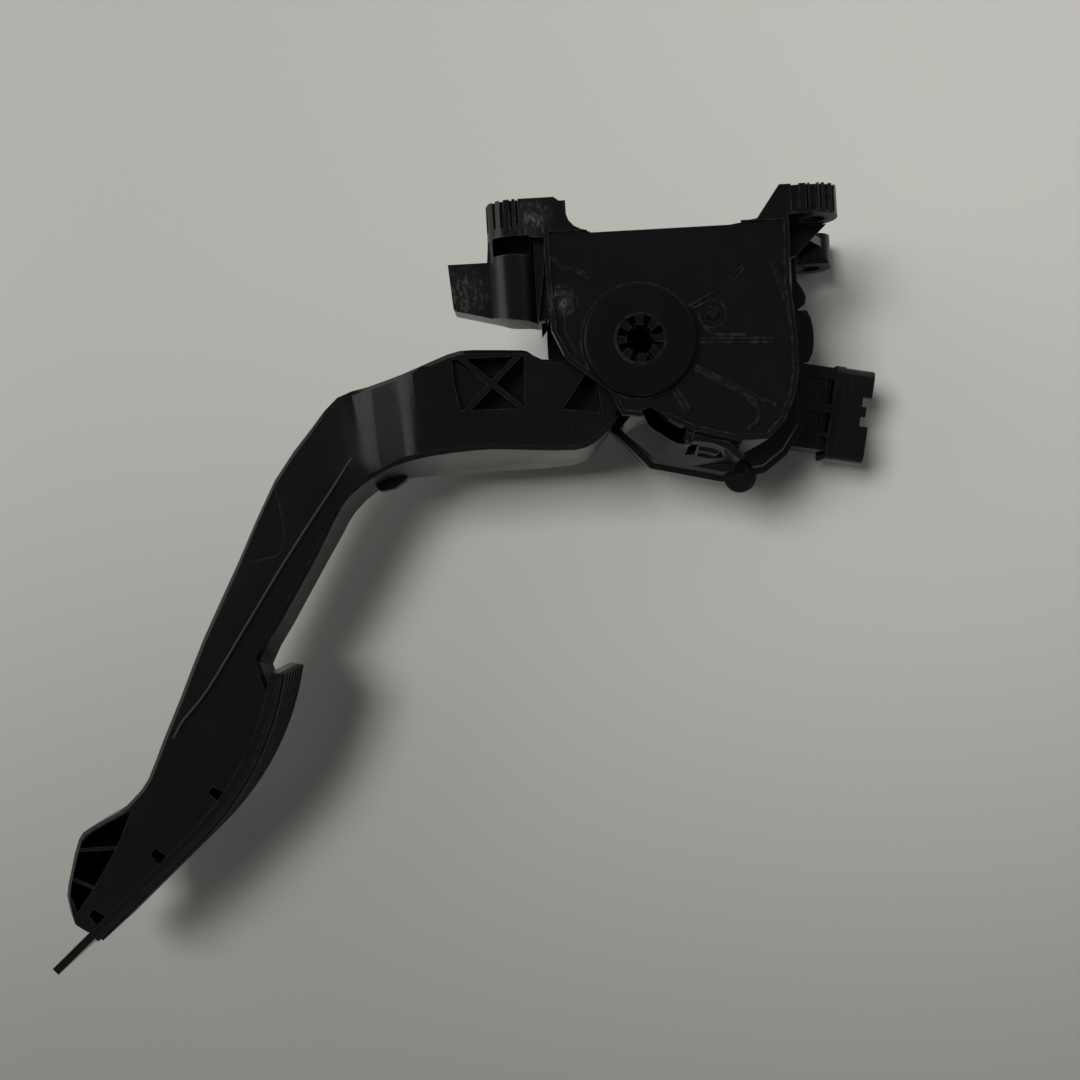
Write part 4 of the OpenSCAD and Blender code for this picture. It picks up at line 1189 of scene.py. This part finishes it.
@dataclass
class Stage:
    """The pale table, the lamps and the camera of the photograph.

    The lens has the film's own width, and the roll is in degrees.
    """

    table_x: float = 0.0655
    table_half: float = 3.0
    eye: Triple = (-0.3315, -0.1026, -0.0427)
    roll: float = 3.2
    film: float = 36.0
    clip: tuple[float, float] = (0.01, 20.0)
    target: Triple = (0.02, -0.09, -0.07)
    lamps: tuple[Lamp, ...] = (
        Lamp("ceiling", (-2.45, 0.36, -1.16), 0.90, 57.0, (1.0, 0.99, 0.97), gloss=False),
        Lamp("window", (-0.62, 0.20, -1.20), 0.9, 3.6, (1.0, 0.99, 0.98)),
        Lamp("doorway", (-0.60, 0.85, 0.75), 0.9, 1.6),
        Lamp("room", (-0.45, -1.1, 0.3), 1.1, 0.25),
    )
    air_tint: Triple = (0.9, 0.92, 0.94)
    air_strength: float = 0.08

    def table(self) -> None:
        """Lay the table behind the pedal, facing the camera."""
        x, half = self.table_x, self.table_half
        corners = [(x, -half, -half), (x, -half, half), (x, half, half), (x, half, -half)]
        mesh = bpy.data.meshes.new("table_top")
        mesh.from_pydata(corners, [], [(0, 1, 2, 3)])
        mesh.materials.append(PaleTable().material())
        made = bpy.data.objects.new("table_top", mesh)
        bpy.context.scene.collection.objects.link(made)

    def light(self) -> None:
        """Light the pedal softly from the front left, as the photograph shows."""
        for lamp in self.lamps:
            lamp.hang(Vector(self.target))
        world = bpy.data.worlds.new("room_air")
        bpy.context.scene.world = world
        world.use_nodes = True
        air = world.node_tree.nodes["Background"]
        air.inputs["Color"].default_value = shade(self.air_tint)
        air.inputs["Strength"].default_value = self.air_strength

    def camera(self) -> None:
        """Set the camera to the photograph's place, angle and framing."""
        data = bpy.data.cameras.new("photo_camera")
        data.sensor_width = self.film
        data.lens = self.film
        data.clip_start, data.clip_end = self.clip
        made = bpy.data.objects.new("photo_camera", data)
        bpy.context.scene.collection.objects.link(made)
        turn = math.radians(self.roll)
        right = Vector((0, -math.sin(turn), math.cos(turn)))
        up = Vector((0, math.cos(turn), math.sin(turn)))
        back = Vector((-1, 0, 0))
        turned = Matrix((right, up, back)).transposed().to_4x4()
        made.matrix_world = Matrix.Translation(self.eye) @ turned
        bpy.context.scene.camera = made

    def build(self) -> None:
        """Set up table, lamps and camera."""
        self.table()
        self.light()
        self.camera()
        bpy.context.scene.view_settings.view_transform = "Standard"


def finishes() -> dict[str, bpy.types.Material]:
    """Make the material of every slot, and of the looks that some pieces have of their own.

    Returns:
        Material by name of slot or look.
    """
    # Lighter patches on the housing: partly scuffs, partly painted glints
    housing_scuffs_and_glints = (
        ScuffAndGlint((-0.006, -0.0065, -0.040), 0.008, 0.5),
        ScuffAndGlint((0.0, -0.026, -0.062), 0.011, 0.35),
        ScuffAndGlint((-0.007, -0.031, -0.0325), 0.006, 0.6),
        ScuffAndGlint((-0.007, -0.036, 0.0015), 0.005, 0.5),
    )
    made = {
        "housing_plastic": MouldedPlastic(
            "housing_black", roughness=0.27, sheen=0.4, wear_and_highlight=0.5, scuffs_and_glints=housing_scuffs_and_glints,
        ),
        "arm_plastic": MouldedPlastic("arm_black", roughness=0.27, sheen=0.34),
        # The ridge's lighter grey is a painted highlight along the stem
        "ridge_painted_highlight": MouldedPlastic("ridge_highlight_grey", (0.042, 0.042, 0.043), roughness=0.36),
        "axle_plastic": MouldedPlastic("axle_black", roughness=0.4, sheen=0.2, wear_and_highlight=0.4),
        "cover_plastic": MouldedPlastic("cover_black", roughness=0.34, sheen=0.4),
        "lever_plastic": MouldedPlastic(
            "lever_grey", (0.07, 0.07, 0.075), roughness=0.5, grain=Grain.COARSE,
        ),
        "pad_rubber": DullRubber("pad_rubber_black"),
        "stop_rubber": DullRubber("stop_rubber_black", (0.018, 0.018, 0.018), roughness=0.7),
        "plated_steel": PlainMetal("plated_steel_bright", (0.6, 0.61, 0.63)),
        "sleeve_steel": PlainMetal("sleeve_passivated", (0.10, 0.10, 0.105), 0.5, 0.5),
        "pin_steel": PlainMetal("pin_blackened", (0.07, 0.07, 0.073), 0.42, 0.5),
        "spring_steel": PlainMetal("spring_wire", (0.4, 0.41, 0.43), 0.3, 0.5),
        "magnet_ferrite": PlainMetal("ferrite_grey", (0.09, 0.09, 0.1), 0.5, 0.5),
        "terminal_brass": PlainMetal("tinned_brass", (0.72, 0.62, 0.4), 0.25, 0.3),
        "lining_composite": FiredOrPressed("lining_brown", (0.26, 0.19, 0.12), 0.75, 0.6),
        "bush_plastic": FiredOrPressed("bush_natural", (0.52, 0.46, 0.34), 0.42, 0.1),
        "cup_plastic": FiredOrPressed("cup_natural", (0.66, 0.64, 0.57), 0.4, 0.08),
        "board_laminate": FiredOrPressed("board_green", (0.02, 0.15, 0.06), 0.35, 0.15),
        "chip_plastic": FiredOrPressed("chip_black", (0.025, 0.025, 0.028), 0.5, 0.2),
        "capacitor_ceramic": FiredOrPressed("capacitor_tan", (0.36, 0.25, 0.15), 0.4, 0.15),
    }
    return {slot: finish.material() for slot, finish in made.items()}


def main() -> None:
    """Build the pedal's looks, sub-assembly by sub-assembly, and the stage."""
    logging.basicConfig(level=logging.INFO, format="%(name)s: %(message)s")
    shop = Workshop(finishes())
    for side in (HousingSide(shop), SwingingSide(shop), SensorSide(shop)):
        side.build()
        side.dress()
    ReturnSprings(shop).build()
    Stage().build()
    log.info("%d pieces made", shop.count)


if __name__ == "__main__":
    main()
